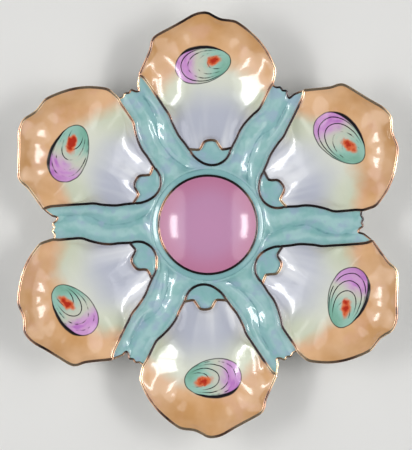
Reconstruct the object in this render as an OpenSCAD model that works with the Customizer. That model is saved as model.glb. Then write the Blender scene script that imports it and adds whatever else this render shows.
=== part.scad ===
// Six-well oyster plate in glazed porcelain: shell-shaped wells round a sauce dish,
// on a ground moulded as seaweed fronds, with gilt lines and a luted foot.
// The table is z = 0 and the plate's axis is the Z axis.

/* [Wells] */
// Width of one shell-shaped well, gilt line included
well_w = 76.1; // [73:0.1:79]
// Length of one well from its heel to its head, along the plate's radius
well_l = 85.6; // [83:0.1:91]
// Distance from the heel to the lowest point of the bowl
bowl_from_heel = 45; // [43:0.5:47]
// Thickness of the porcelain under the bowl
wall = 4.4; // [3.8:0.1:5]
// Thickness of the free rim round the head
rim_t = 3.2; // [2.6:0.1:4]
// Distance that the free rim's lower edge is drawn in
rim_taper = 1.1; // [0.6:0.1:1.6]
// Height of the rim at the head over the table
head_rim_h = 21.5; // [20.5:0.1:23.5]
// Height of the rim at the heel over the table
heel_rim_h = 17.6; // [17:0.1:18.4]

/* [Sauce dish] */
// Radius of the gilt crest of the sauce dish
sauce_r = 27.2; // [25.5:0.1:29]
// Depth of the sauce dish under its crest
sauce_depth = 8; // [6.5:0.1:8.6]
// Height of the crest over the table
sauce_rim_h = 17.9; // [17.3:0.1:18.7]
// Width of the slope outside the crest
sauce_slope_w = 3; // [2.4:0.1:3.8]
// Height that the outer slope loses
sauce_slope_drop = 1.7; // [1.2:0.1:2.4]
// Width of the ground left between the sauce dish and each heel
heel_gap = 1.3; // [1:0.1:2.4]

/* [Ground] */
// Thickness of the ground between the wells
ground_t = 4.2; // [3.6:0.1:4.8]
// Height of each rim over the ground beside it
lip_h = 0.9; // [0.6:0.1:1.4]
// Depth of the hollow between two wells
ground_dip = 3; // [2.2:0.1:3.6]
// Height of the two fronds that swell between two wells
frond_h = 1.4; // [0.8:0.1:1.8]
// Height that the toothed outer edge hangs under its ends
tooth_sag = 1.2; // [0.6:0.1:2]
// Depth of the hollow in each heel
heel_dip = 1.1; // [0.8:0.1:1.6]

/* [Foot] */
// Height of the flat bottoms of the wells over the table
foot_h = 4.5; // [3.9:0.1:5.1]
// Middle radius of the foot
foot_r = 58; // [56:0.5:60]
// Thickness of the foot
foot_t = 3.4; // [2.8:0.1:4]
// Height of the unglazed standing edge
foot_edge_h = 1.2; // [0.8:0.1:1.6]

/* [Gilding] */
// Width of the gilt lines
gilt_w = 1.4; // [1:0.1:1.8]
// Thickness of the gilt lines at their middle
gilt_t = 0.35; // [0.2:0.05:0.5]

/* [Hidden] */
// Gap between the sauce dish and the facets of the ground round it
sauce_seam = 0.05;
// Gap between the foot and the plate's underside
foot_seam = 0.12;
well_count = 6;
sector = 360 / well_count;
// Points on each span of an outline
sub = 2;
// Spans of the ground from one well to the next
ground_cols = 9;
// Steps round the foot
foot_steps = 144;
// The crease between the two fronds, as shares of the way across: its middle, its sway
// and the turns of that sway along the ground
crease_share = 0.56;
crease_sway_share = 0.1;
crease_sway_turns = 1.1;
// Shape of the hollow across the ground, and the share of its length that each end takes to sink
hollow_power = 0.8;
hollow_end_share = 0.2;
// Bowl rings as shares of the way from the bowl's middle to its rim
bowl_ring_shares = [0.22, 0.42, 0.58, 0.72, 0.84, 0.94];
under_ring_shares = [0.6];
// Share of the bowl that is flat underneath
flat_share = 0.2;
// Half axes of the round that the bowl's rings take towards its middle, as shares of well_w
// across and of well_l up and down, and the share of the way where they leave it
basin_across_share = 0.486;
basin_up_share = 0.45;
basin_down_share = 0.31;
basin_end_share = 0.6;
// Tilt of the bowl's inside in degrees at shares of the way out: to its sides, head and heel
right_tilt_shares = [
    [0, 0], [0.1, 3], [0.45, 19], [0.53, 24], [0.74, 25], [0.82, 17], [0.93, 13], [1, 22]
];
left_tilt_shares = [
    [0, 0], [0.22, 4], [0.37, 18], [0.49, 29], [0.66, 30], [0.8, 15], [0.92, 10], [1, 18]
];
head_tilt_shares = [
    [0, 0], [0.35, 8], [0.56, 18], [0.75, 27], [0.84, 36], [0.95, 39], [1, 38]
];
heel_tilt_shares = [
    [0, 0], [0.3, 6], [0.6, 16], [0.73, 22], [0.81, 32], [0.93, 38], [1, 36]
];
// Climb of the way out, as a share of it, where a side's form starts and ends to give way
side_from_share = 0.15;
side_to_share = 0.6;
// Places up the shell, as shares of well_l, where its rim becomes free of the ground
head_from_share = 0.56;
head_full_share = 0.68;
under_power = 2.4;

// The shell's outline, anticlockwise, as shares of well_w across and of well_l along
right_flank_shares = [
    [0.18, 0.114], [0.217, 0.178], [0.243, 0.23], [0.28, 0.277], [0.333, 0.327],
    [0.383, 0.369], [0.422, 0.436], [0.454, 0.497], [0.478, 0.532]
];
head_shares = [
    [0.49, 0.572], [0.497, 0.62], [0.48, 0.669], [0.435, 0.747], [0.373, 0.82],
    [0.299, 0.882], [0.223, 0.932], [0.178, 0.947], [0.101, 0.956], [0.051, 0.975],
    [0.007, 0.996], [-0.04, 1], [-0.109, 0.984], [-0.203, 0.936], [-0.29, 0.894],
    [-0.379, 0.85], [-0.413, 0.814], [-0.428, 0.755], [-0.459, 0.689], [-0.491, 0.627]
];
left_flank_shares = [
    [-0.503, 0.59], [-0.464, 0.556], [-0.403, 0.479], [-0.328, 0.378], [-0.29, 0.327],
    [-0.266, 0.273], [-0.223, 0.198], [-0.181, 0.149], [-0.145, 0.105]
];
heel_shares = [
    [-0.113, 0.064], [-0.069, 0.03], [-0.019, 0.007], [0.036, 0], [0.087, 0.01],
    [0.134, 0.037], [0.163, 0.074]
];
// The notched line between the bowl and the heel, from the left flank to the right one
notch_shares = [
    [-0.07, 0.101], [-0.044, 0.117], [-0.02, 0.153], [0.02, 0.163], [0.055, 0.156],
    [0.082, 0.122], [0.108, 0.103]
];
// The toothed outer edge of the ground, as shares of the straight way between its two ends:
// how far along it and how far out of it
tooth_shares = [
    [0.116, -0.048], [0.248, -0.025], [0.354, -0.106], [0.478, -0.108], [0.533, -0.24],
    [0.629, -0.31], [0.739, -0.177], [0.877, -0.081]
];

sauce_outer_r = sauce_r + gilt_w / 2 + sauce_slope_w;
heel_r = sauce_outer_r + heel_gap;
sauce_skirt_h = sauce_rim_h - sauce_slope_drop;
bowl_center = [0, heel_r + bowl_from_heel];
floor_h = foot_h + wall;
// Spans of the ground along a flank, after the first one across the strip at the heel
half_heel = sub * 4;
flank_steps = sub * (len(right_flank_shares) - 1);
ground_rows = 1 + half_heel + flank_steps;

// Small helpers on points and values
function mix(a, b, t) = a + (b - a) * t;
function smooth(t) = let (c = min(max(t, 0), 1)) c * c * (3 - 2 * c);
function raised(p, z) = [p[0], p[1], z];
function turned(p, a) = [p[0] * cos(a) - p[1] * sin(a), p[0] * sin(a) + p[1] * cos(a)];
function sized(s) = [s[0] * well_w, heel_r + s[1] * well_l];
function placed(shares) = [for (s = shares) sized(s)];
function height_share(p) = (p[1] - heel_r) / well_l;

// A smooth curve through its middle points b and c, at share t of the way between them
function bend(a, b, c, d, t) =
    0.5 * (2 * b + (c - a) * t + (2 * a - 5 * b + 4 * c - d) * t * t + (3 * b - a - 3 * c + d) * t * t * t);
function closed_curve(p) = let (n = len(p)) [
    for (i = [0:n - 1], k = [0:sub - 1])
        bend(p[(i + n - 1) % n], p[i], p[(i + 1) % n], p[(i + 2) % n], k / sub)
];
function open_curve(p) = let (n = len(p)) [
    for (i = [0:n - 2], k = [0:sub - 1])
        bend(p[max(i - 1, 0)], p[i], p[i + 1], p[min(i + 2, n - 1)], k / sub),
    p[n - 1]
];

// Each point of a closed outline moved inwards by w
function inset(p, w) = let (n = len(p)) [
    for (i = [0:n - 1])
        let (d = p[(i + 1) % n] - p[(i + n - 1) % n]) p[i] + w * [-d[1], d[0]] / norm(d)
];

shell_line = closed_curve(placed(concat(right_flank_shares, head_shares, left_flank_shares, heel_shares)));
shell_steps = len(shell_line);
left_corner_i = sub * (len(right_flank_shares) + len(head_shares));
left_joint_i = left_corner_i + flank_steps;
heel_bottom_i = left_joint_i + half_heel;
shell_inner = inset(shell_line, gilt_w);

notch_line = open_curve(concat([shell_line[left_joint_i]], placed(notch_shares), [shell_line[0]]));
notch_steps = len(notch_line) - 1;
bowl_line = concat(
    [for (i = [0:left_joint_i]) shell_line[i]],
    [for (i = [1:notch_steps - 1]) notch_line[i]]
);
bowl_steps = len(bowl_line);
bowl_inner = inset(bowl_line, gilt_w);

// Heights, each worked out from the place on the shell's outline
function rim_h(p) = mix(heel_rim_h, head_rim_h, smooth(height_share(p)));
function ground_edge_h(p) = rim_h(p) - lip_h;
function head_part(p) = smooth((height_share(p) - head_from_share) / (head_full_share - head_from_share));
function under_edge_h(p) = rim_h(p) - mix(lip_h + ground_t, rim_t, head_part(p));
function total(v) = v * [for (x = v) 1];
function climbed(tilts, s) = total([
    for (i = [0:len(tilts) - 2])
        let (a = tilts[i], w = min(max(s, a[0]), tilts[i + 1][0]) - a[0])
        w * (tan(a[1]) + tan(lookup(a[0] + w, tilts))) / 2
]);
function climb(tilts, s) = climbed(tilts, s) / climbed(tilts, 1);
function bowl_h(p, s) =
    let (
        d = p - bowl_center,
        up = d[1] / norm(d),
        side = climb(d[0] > 0 ? right_tilt_shares : left_tilt_shares, s),
        end = climb(up > 0 ? head_tilt_shares : heel_tilt_shares, s),
        turn = smooth((abs(up) - side_from_share) / (side_to_share - side_from_share))
    )
    mix(floor_h, rim_h(p), mix(side, end, turn));
function drawn_in(p) = let (d = bowl_center - p) p + d * rim_taper * head_part(p) / norm(d);
function basin_r(way) =
    1 / norm([
        way[0] / basin_across_share / well_w,
        way[1] / (way[1] > 0 ? basin_up_share : basin_down_share) / well_l
    ]);
function bowl_ring(p, s) =
    let (
        d = p - bowl_center,
        way = d / norm(d),
        out = smooth((s - basin_end_share) / (1 - basin_end_share))
    )
    bowl_center + way * s * mix(basin_r(way), norm(d), out);
function under_h(p, s) =
    mix(foot_h, under_edge_h(p), pow(max(s - flat_share, 0) / (1 - flat_share), under_power));

// Triangles of a skin lofted through m rings of n points, closed by a pole at each end
function loft_faces(n, m) = concat(
    [for (j = [0:n - 1]) [n * m, (j + 1) % n, j]],
    [for (r = [0:m - 2], j = [0:n - 1])
        let (a = r * n + j, b = r * n + (j + 1) % n)
        each [[a, b, b + n], [a, b + n, a + n]]],
    [for (j = [0:n - 1]) [n * m + 1, (m - 1) * n + j, (m - 1) * n + (j + 1) % n]]
);
// Triangles round a bar of m sections with n points each, closed on itself or capped
function bar_faces(n, m, closed) = concat(
    [for (i = [0:closed ? m - 1 : m - 2], k = [0:n - 1])
        let (a = i * n + k, b = i * n + (k + 1) % n, next = (i + 1) % m * n - i * n)
        each [[a, b, b + next], [a, b + next, a + next]]],
    closed ? [] : [[for (k = [n:-1:1]) k % n], [for (k = [0:n - 1]) (m - 1) * n + k]]
);
// Triangles of a slab from its upper grid and its lower grid, which follows in the points
function slab_faces(rows, cols, at) = let (low = rows * cols) concat(
    [for (r = [0:rows - 2], c = [0:cols - 2])
        let (p = at(r, c), q = at(r + 1, c), s = at(r + 1, c + 1), t = at(r, c + 1))
        each [[p, q, s], [p, s, t], [low + p, low + s, low + q], [low + p, low + t, low + s]]],
    [for (c = [0:cols - 2])
        let (p = at(0, c), t = at(0, c + 1), q = at(rows - 1, c), s = at(rows - 1, c + 1))
        each [[p, t, low + t], [p, low + t, low + p], [q, low + s, s], [q, low + q, low + s]]],
    [for (r = [0:rows - 2])
        let (p = at(r, 0), q = at(r + 1, 0), t = at(r, cols - 1), s = at(r + 1, cols - 1))
        each [[p, low + p, low + q], [p, low + q, q], [t, s, low + s], [t, low + s, low + t]]]
);
function whole(faces) = [for (f = faces) if (f[0] != f[1] && f[1] != f[2] && f[2] != f[0]) f];

// The left side of the next well, as seen from a well at the top
function next_point(i) = turned(shell_line[i], -sector);
function heel_foot(p) = p * (sauce_outer_r + sauce_seam) / cos(sector / ground_cols / 2) / norm(p);
right_side = concat(
    [raised(heel_foot(shell_line[heel_bottom_i]), sauce_skirt_h)],
    [for (k = [0:half_heel + flank_steps])
        let (p = shell_line[(heel_bottom_i + k) % shell_steps]) raised(p, ground_edge_h(p))]
);
left_side = concat(
    [raised(turned(heel_foot(shell_line[heel_bottom_i]), -sector), sauce_skirt_h)],
    [for (k = [0:half_heel + flank_steps])
        let (i = heel_bottom_i - k) raised(next_point(i), ground_edge_h(shell_line[i]))]
);
inner_side = [
    for (c = [0:ground_cols])
        raised(turned(heel_foot(shell_line[heel_bottom_i]), -sector * c / ground_cols), sauce_skirt_h)
];
tooth_line = let (a = right_side[ground_rows], way = left_side[ground_rows] - a) concat(
    [a],
    [for (t = tooth_shares)
        a + t[0] * way + t[1] * [-way[1], way[0], 0] - [0, 0, tooth_sag * sin(180 * t[0])]],
    [a + way]
);

// The ground as a patch stretched between its four sides, hollowed, with fronds on it
function patch(r, c) =
    let (v = r / ground_rows, u = c / ground_cols)
    mix(inner_side[c], tooth_line[c], v) + mix(right_side[r], left_side[r], u)
    - mix(mix(inner_side[0], inner_side[ground_cols], u), mix(tooth_line[0], tooth_line[ground_cols], u), v);
function hollow(v, u) =
    pow(sin(180 * u), hollow_power) * smooth(v / hollow_end_share) * smooth((1 - v) / hollow_end_share);
function frond(v, u) =
    let (crease = crease_share + crease_sway_share * cos(360 * crease_sway_turns * v))
    sin(180 * (u < crease ? u / crease : (1 - u) / (1 - crease)));
function ground_top(r, c) =
    let (v = r / ground_rows, u = c / ground_cols)
    patch(r, c) + [0, 0, hollow(v, u) * (frond_h * frond(v, u) - ground_dip)];
function ground_low(r, c) =
    patch(r, c) - [0, 0, ground_t + hollow(r / ground_rows, c / ground_cols) * ground_dip];

// The underside at a place of the plate, for the foot to follow
function turn_of(d) =
    let (d0 = bowl_line[0] - bowl_center, t = atan2(d[1], d[0]) - atan2(d0[1], d0[0])) t < 0 ? t + 360 : t;
bowl_turns = concat(
    [for (i = [0:bowl_steps - 1]) [turn_of(bowl_line[i] - bowl_center), i]],
    [[360, bowl_steps]]
);
function bowl_edge(i) = mix(bowl_line[floor(i) % bowl_steps], bowl_line[ceil(i) % bowl_steps], i - floor(i));
function bowl_under(p) =
    let (
        d = p - bowl_center,
        q = bowl_edge(lookup(turn_of(d), bowl_turns)),
        s = norm(d) / norm(q - bowl_center)
    )
    [s, under_h(q, s)];
function past_row(p, r) =
    let (a = right_side[r], d = left_side[r] - a)
    (d[0] * (p[1] - a[1]) - d[1] * (p[0] - a[0])) / norm([d[0], d[1]]);
function ground_under(p, r = 1 + half_heel) =
    r >= ground_rows - 1 || past_row(p, r + 1) < 0
    ? let (
        w = past_row(p, r) / (past_row(p, r) - past_row(p, r + 1)),
        a = mix(right_side[r], right_side[r + 1], w),
        b = mix(left_side[r], left_side[r + 1], w),
        u = min(norm(p - [a[0], a[1]]) / norm([b[0] - a[0], b[1] - a[1]]), 1)
    ) mix(a[2], b[2], u) - ground_t - hollow((r + w) / ground_rows, u) * ground_dip
    : ground_under(p, r + 1);
function plate_under(a, r) =
    let (
        k = round((a - 90) / sector),
        p = turned([r, 0], a - k * sector),
        bowl = bowl_under(p)
    )
    bowl[0] <= 1 ? bowl[1] : ground_under(p[0] > 0 ? p : turned(p, -sector));

module at_well(k) {
    rotate([0, 0, -sector * (k - 1)]) children();
}

// Shell bowl: its inside, the land under the gilt line, its outer wall and its underside
module well(k) {
    inside = [
        for (s = bowl_ring_shares, i = [0:bowl_steps - 1])
            raised(bowl_ring(bowl_inner[i], s), bowl_h(bowl_line[i], s))
    ];
    land = concat(
        [for (i = [0:bowl_steps - 1]) raised(bowl_inner[i], rim_h(bowl_line[i]))],
        [for (p = bowl_line) raised(p, rim_h(p))]
    );
    outside = concat(
        [for (p = bowl_line) raised(drawn_in(p), under_edge_h(p))],
        [for (s = concat(under_ring_shares, [flat_share]), p = bowl_line)
            raised(mix(bowl_center, p, s), under_h(p, s))]
    );
    rings = (len(inside) + len(land) + len(outside)) / bowl_steps;
    color("navajowhite")
        at_well(k)
            polyhedron(
                concat(inside, land, outside, [raised(bowl_center, floor_h), raised(bowl_center, foot_h)]),
                loft_faces(bowl_steps, rings)
            );
}

// Heel: a shallow hollow between the notched line and the round end of the shell
module heel(k) {
    function arc(c) = shell_line[(left_joint_i + c) % shell_steps];
    function arc_inner(c) =
        let (d = notch_line[c] - arc(c)) arc(c) + d * gilt_w / max(norm(d), 2 * gilt_w);
    function deep(c) = heel_dip * sin(180 * c / notch_steps);
    function at(r, c) = c == 0 || c == notch_steps ? c : r * (notch_steps + 1) + c;
    rows = 4;
    upper = concat(
        [for (c = [0:notch_steps]) raised(arc(c), rim_h(arc(c)))],
        [for (c = [0:notch_steps]) raised(arc_inner(c), rim_h(arc(c)))],
        [for (c = [0:notch_steps])
            let (p = mix(arc_inner(c), notch_line[c], 0.5)) raised(p, rim_h(p) - deep(c))],
        [for (c = [0:notch_steps])
            let (p = notch_line[c]) raised(p, rim_h(p) - min(deep(c), lip_h))]
    );
    lower = [for (p = upper) raised(p, rim_h(p) - lip_h - ground_t)];
    color("cadetblue")
        at_well(k)
            polyhedron(
                concat(upper, lower),
                whole(slab_faces(rows, notch_steps + 1, function(r, c) at(r, c)))
            );
}

// Ground: the seaweed fronds between one well and the next, with a toothed outer edge
module ground(k) {
    color("cadetblue")
        at_well(k)
            polyhedron(
                concat(
                    [for (r = [0:ground_rows], c = [0:ground_cols]) ground_top(r, c)],
                    [for (r = [0:ground_rows], c = [0:ground_cols]) ground_low(r, c)]
                ),
                slab_faces(ground_rows + 1, ground_cols + 1, function(r, c) r * (ground_cols + 1) + c)
            );
}

// A bar of gilding on a pair of lines: flat underneath, with a ridge along its middle
module gilding(outer, inner, closed) {
    sections = [
        for (i = [0:len(outer) - 1])
            each [outer[i], mix(outer[i], inner[i], 0.5) + [0, 0, gilt_t], inner[i]]
    ];
    color("goldenrod") polyhedron(sections, bar_faces(3, len(outer), closed));
}

// Gilt line round the whole shell, over the bowl's land and the heel's
module gilt_rim(k) {
    at_well(k)
        gilding(
            [for (p = shell_line) raised(p, rim_h(p))],
            [for (i = [0:shell_steps - 1]) raised(shell_inner[i], rim_h(shell_line[i]))],
            true
        );
}

// Gilt line on the notch, from just inside one flank's line to just inside the other's
module gilt_notch(k) {
    first = left_joint_i + sub;
    last = bowl_steps - sub;
    at_well(k)
        gilding(
            [for (i = [first:last]) raised(bowl_line[i], rim_h(bowl_line[i]))],
            [for (i = [first:last]) raised(bowl_inner[i], rim_h(bowl_line[i]))],
            false
        );
}

// Gilt line on the teeth of the ground's outer edge
module gilt_teeth(k) {
    edge = [for (c = [ground_cols:-1:0]) ground_top(ground_rows, c)];
    behind = [for (c = [ground_cols:-1:0]) ground_top(ground_rows - 1, c)];
    inner = [
        for (i = [0:ground_cols])
            let (d = behind[i] - edge[i]) edge[i] + d * min(gilt_w / norm(d), 1)
    ];
    at_well(k) gilding(edge, inner, false);
}

// Round sauce dish: a spherical hollow, the land under its gilt rim, and the slope outside
module sauce_well() {
    hollow_r = sauce_r - gilt_w / 2;
    ball_r = (hollow_r * hollow_r + sauce_depth * sauce_depth) / sauce_depth / 2;
    arc_a = asin(hollow_r / ball_r);
    arc_steps = 14;
    flat_r = sauce_r / 2;
    color("orchid")
        rotate_extrude($fn = 96)
            polygon(concat(
                [for (i = [0:arc_steps])
                    let (a = arc_a * i / arc_steps)
                    [ball_r * sin(a), sauce_rim_h - sauce_depth + ball_r * (1 - cos(a))]],
                [
                    [sauce_r + gilt_w / 2, sauce_rim_h],
                    [sauce_outer_r, sauce_skirt_h],
                    [sauce_outer_r, sauce_skirt_h - ground_t],
                    [flat_r, sauce_rim_h - sauce_depth - wall],
                    [0, sauce_rim_h - sauce_depth - wall]
                ]
            ));
}

module sauce_gilt_rim() {
    color("goldenrod")
        rotate_extrude($fn = 96)
            polygon([
                [sauce_r - gilt_w / 2, sauce_rim_h],
                [sauce_r + gilt_w / 2, sauce_rim_h],
                [sauce_r + gilt_w / 4, sauce_rim_h + gilt_t],
                [sauce_r - gilt_w / 4, sauce_rim_h + gilt_t]
            ]);
}

// Glazed wall of the foot, from its standing edge up to the plate's underside
module foot_wall() {
    function top_h(a, r) = plate_under(a, r) - foot_seam;
    sections = [
        for (i = [0:foot_steps - 1])
            let (
                a = 360 * i / foot_steps,
                out = [cos(a), sin(a)],
                r0 = foot_r + foot_t / 2,
                r1 = foot_r - foot_t / 2
            )
            each [
                raised(out * r0, foot_edge_h), raised(out * r0, top_h(a, r0)),
                raised(out * r1, top_h(a, r1)), raised(out * r1, foot_edge_h)
            ]
    ];
    color("ivory") polyhedron(sections, bar_faces(4, foot_steps, true));
}

// Standing edge of the foot, wiped clean of glaze
module foot_ring() {
    color("linen")
        difference() {
            cylinder(h = foot_edge_h, r = foot_r + foot_t / 2, $fn = 128);
            translate([0, 0, -foot_edge_h])
                cylinder(h = 3 * foot_edge_h, r = foot_r - foot_t / 2, $fn = 128);
        }
}

sauce_well();
sauce_gilt_rim();
for (k = [1:well_count]) {
    well(k);
    heel(k);
    ground(k);
    gilt_rim(k);
    gilt_notch(k);
    gilt_teeth(k);
}
foot_wall();
foot_ring();
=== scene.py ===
"""Blender scene of a six-well oyster plate in glazed porcelain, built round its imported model."""

import logging
import math
from collections.abc import Callable, Iterable, Sequence
from dataclasses import dataclass, field
from enum import Enum

import bpy
import numpy as np
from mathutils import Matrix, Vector


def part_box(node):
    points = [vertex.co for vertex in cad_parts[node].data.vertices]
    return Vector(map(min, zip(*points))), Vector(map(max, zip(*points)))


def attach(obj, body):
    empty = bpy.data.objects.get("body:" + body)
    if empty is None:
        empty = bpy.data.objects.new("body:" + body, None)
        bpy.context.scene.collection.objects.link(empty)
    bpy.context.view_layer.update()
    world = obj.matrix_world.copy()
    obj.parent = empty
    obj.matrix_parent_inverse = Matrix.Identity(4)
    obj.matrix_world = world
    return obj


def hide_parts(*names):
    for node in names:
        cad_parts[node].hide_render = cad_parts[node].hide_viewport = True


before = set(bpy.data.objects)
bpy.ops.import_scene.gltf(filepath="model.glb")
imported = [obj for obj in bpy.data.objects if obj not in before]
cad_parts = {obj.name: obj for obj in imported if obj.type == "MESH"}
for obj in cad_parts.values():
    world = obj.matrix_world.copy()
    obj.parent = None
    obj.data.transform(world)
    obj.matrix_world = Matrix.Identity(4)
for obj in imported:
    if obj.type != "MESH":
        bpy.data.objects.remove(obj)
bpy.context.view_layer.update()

LOG = logging.getLogger("oyster_plate")
MM = 0.001
WELL_COUNT = 6
SECTOR = math.radians(360 / WELL_COUNT)
COLOURED, WHITE = 0, 1
Array = np.ndarray
Mesh = bpy.types.Mesh
Material = bpy.types.Material
Object = bpy.types.Object
Socket = bpy.types.NodeSocket
Colour = tuple[float, float, float]
Pair = tuple[float, float]


class Slot(Enum):
    """The record's material slots, one for each kind of piece made here."""

    SHELL = "shell_glaze"
    GROUND = "ground_glaze"
    SAUCE = "sauce_glaze"
    GILDING = "gilding"
    FOOT = "foot_glaze"


def linear(red: int, green: int, blue: int) -> Colour:
    """Turns a colour as it is seen on a screen into the linear values of a shader.

    Args:
        red, green, blue: Screen values from 0 to 255.

    Returns:
        The three linear values.
    """
    shares = (red / 255, green / 255, blue / 255)
    return tuple(c / 12.92 if c <= 0.04045 else ((c + 0.055) / 1.055) ** 2.4 for c in shares)


def mix(a: Array | float, b: Array | float, t: Array | float) -> Array:
    """Returns the value that lies t of the way from a to b."""
    return a + (b - a) * t


def smooth(t: Array | float) -> Array:
    """Returns t held between 0 and 1 with both ends eased."""
    held = np.clip(t, 0.0, 1.0)
    return held * held * (3 - 2 * held)


def eased(value: Array | float, span: tuple[Array | float, float]) -> Array:
    """Eases from 0 at the start of a span to 1 at its end."""
    start, end = span
    return smooth((value - start) / (end - start))


def around(turn: Array) -> Array:
    """Returns the x and y of each direction."""
    return np.stack([np.cos(turn), np.sin(turn)], axis=-1)


def unit(ways: Array) -> Array:
    """Scales each row to a length of 1."""
    return ways / np.linalg.norm(ways, axis=1, keepdims=True)


def well_turn(number: int) -> float:
    """Returns the angle of a well from the top of the plate."""
    return -SECTOR * (number - 1)


def turned(points: Array, angle: float) -> Array:
    """Turns points about the plate's axis.

    Args:
        points: Array whose last axis holds x and y, and perhaps z.
        angle: Angle in radians, anticlockwise from above.

    Returns:
        The turned points.
    """
    result = points.copy()
    x, y = points[..., 0], points[..., 1]
    result[..., 0] = x * math.cos(angle) - y * math.sin(angle)
    result[..., 1] = x * math.sin(angle) + y * math.cos(angle)
    return result


def raised(points: Array, heights: Array | float) -> Array:
    """Gives each x, y point its height, or all of them one height."""
    z = np.broadcast_to(heights, points.shape[:-1])
    return np.concatenate([points, z[..., None]], axis=-1)


def through(points: Array, steps: int, closed: bool) -> Array:
    """Draws a smooth curve through points.

    Args:
        points: The points that the curve passes, one per row.
        steps: Points made on each span.
        closed: Whether the curve runs back to its first point.

    Returns:
        The points of the curve. An open curve keeps its last point.
    """
    count = len(points)
    spans = count if closed else count - 1
    if closed:
        before, after, beyond = np.roll(points, 1, 0), np.roll(points, -1, 0), np.roll(points, -2, 0)
    else:
        padded = np.concatenate([points[:1], points, points[-1:]])
        before, after, beyond = padded[:-3], padded[2:-1], padded[3:]
    made = []
    for k in range(steps):
        t = k / steps
        a, b, c, d = before[:spans], points[:spans], after[:spans], beyond[:spans]
        made.append(0.5 * (2 * b + (c - a) * t + (2 * a - 5 * b + 4 * c - d) * t**2
                           + (3 * b - a - 3 * c + d) * t**3))
    curve = np.stack(made, axis=1).reshape(-1, points.shape[-1])
    return curve if closed else np.concatenate([curve, points[-1:]])


def softened(values: Array, spread: float, reach: int) -> Array:
    """Smooths the values along a closed line, so that small bends fade.

    Args:
        values: One row for each point of the line.
        spread: How many points to each side a bend is spread over.
        reach: How many points to each side are looked at.

    Returns:
        The smoothed values.
    """
    total, weight = np.zeros_like(values), 0.0
    for k in range(-reach, reach + 1):
        share = math.exp(-0.5 * (k / spread) ** 2)
        total += np.roll(values, k, 0) * share
        weight += share
    return total / weight


def inward(line: Array, spread: int) -> Array:
    """Finds the inward direction along a closed anticlockwise line.

    Args:
        line: The line's points, one x, y pair per row.
        spread: Points to each side over which a corner's turn is shared.

    Returns:
        One unit direction for each point.
    """
    way = np.roll(line, -1, 0) - np.roll(line, 1, 0)
    side = unit(np.stack([-way[:, 1], way[:, 0]], axis=1))
    return unit(softened(side, spread / 2, spread))


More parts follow.
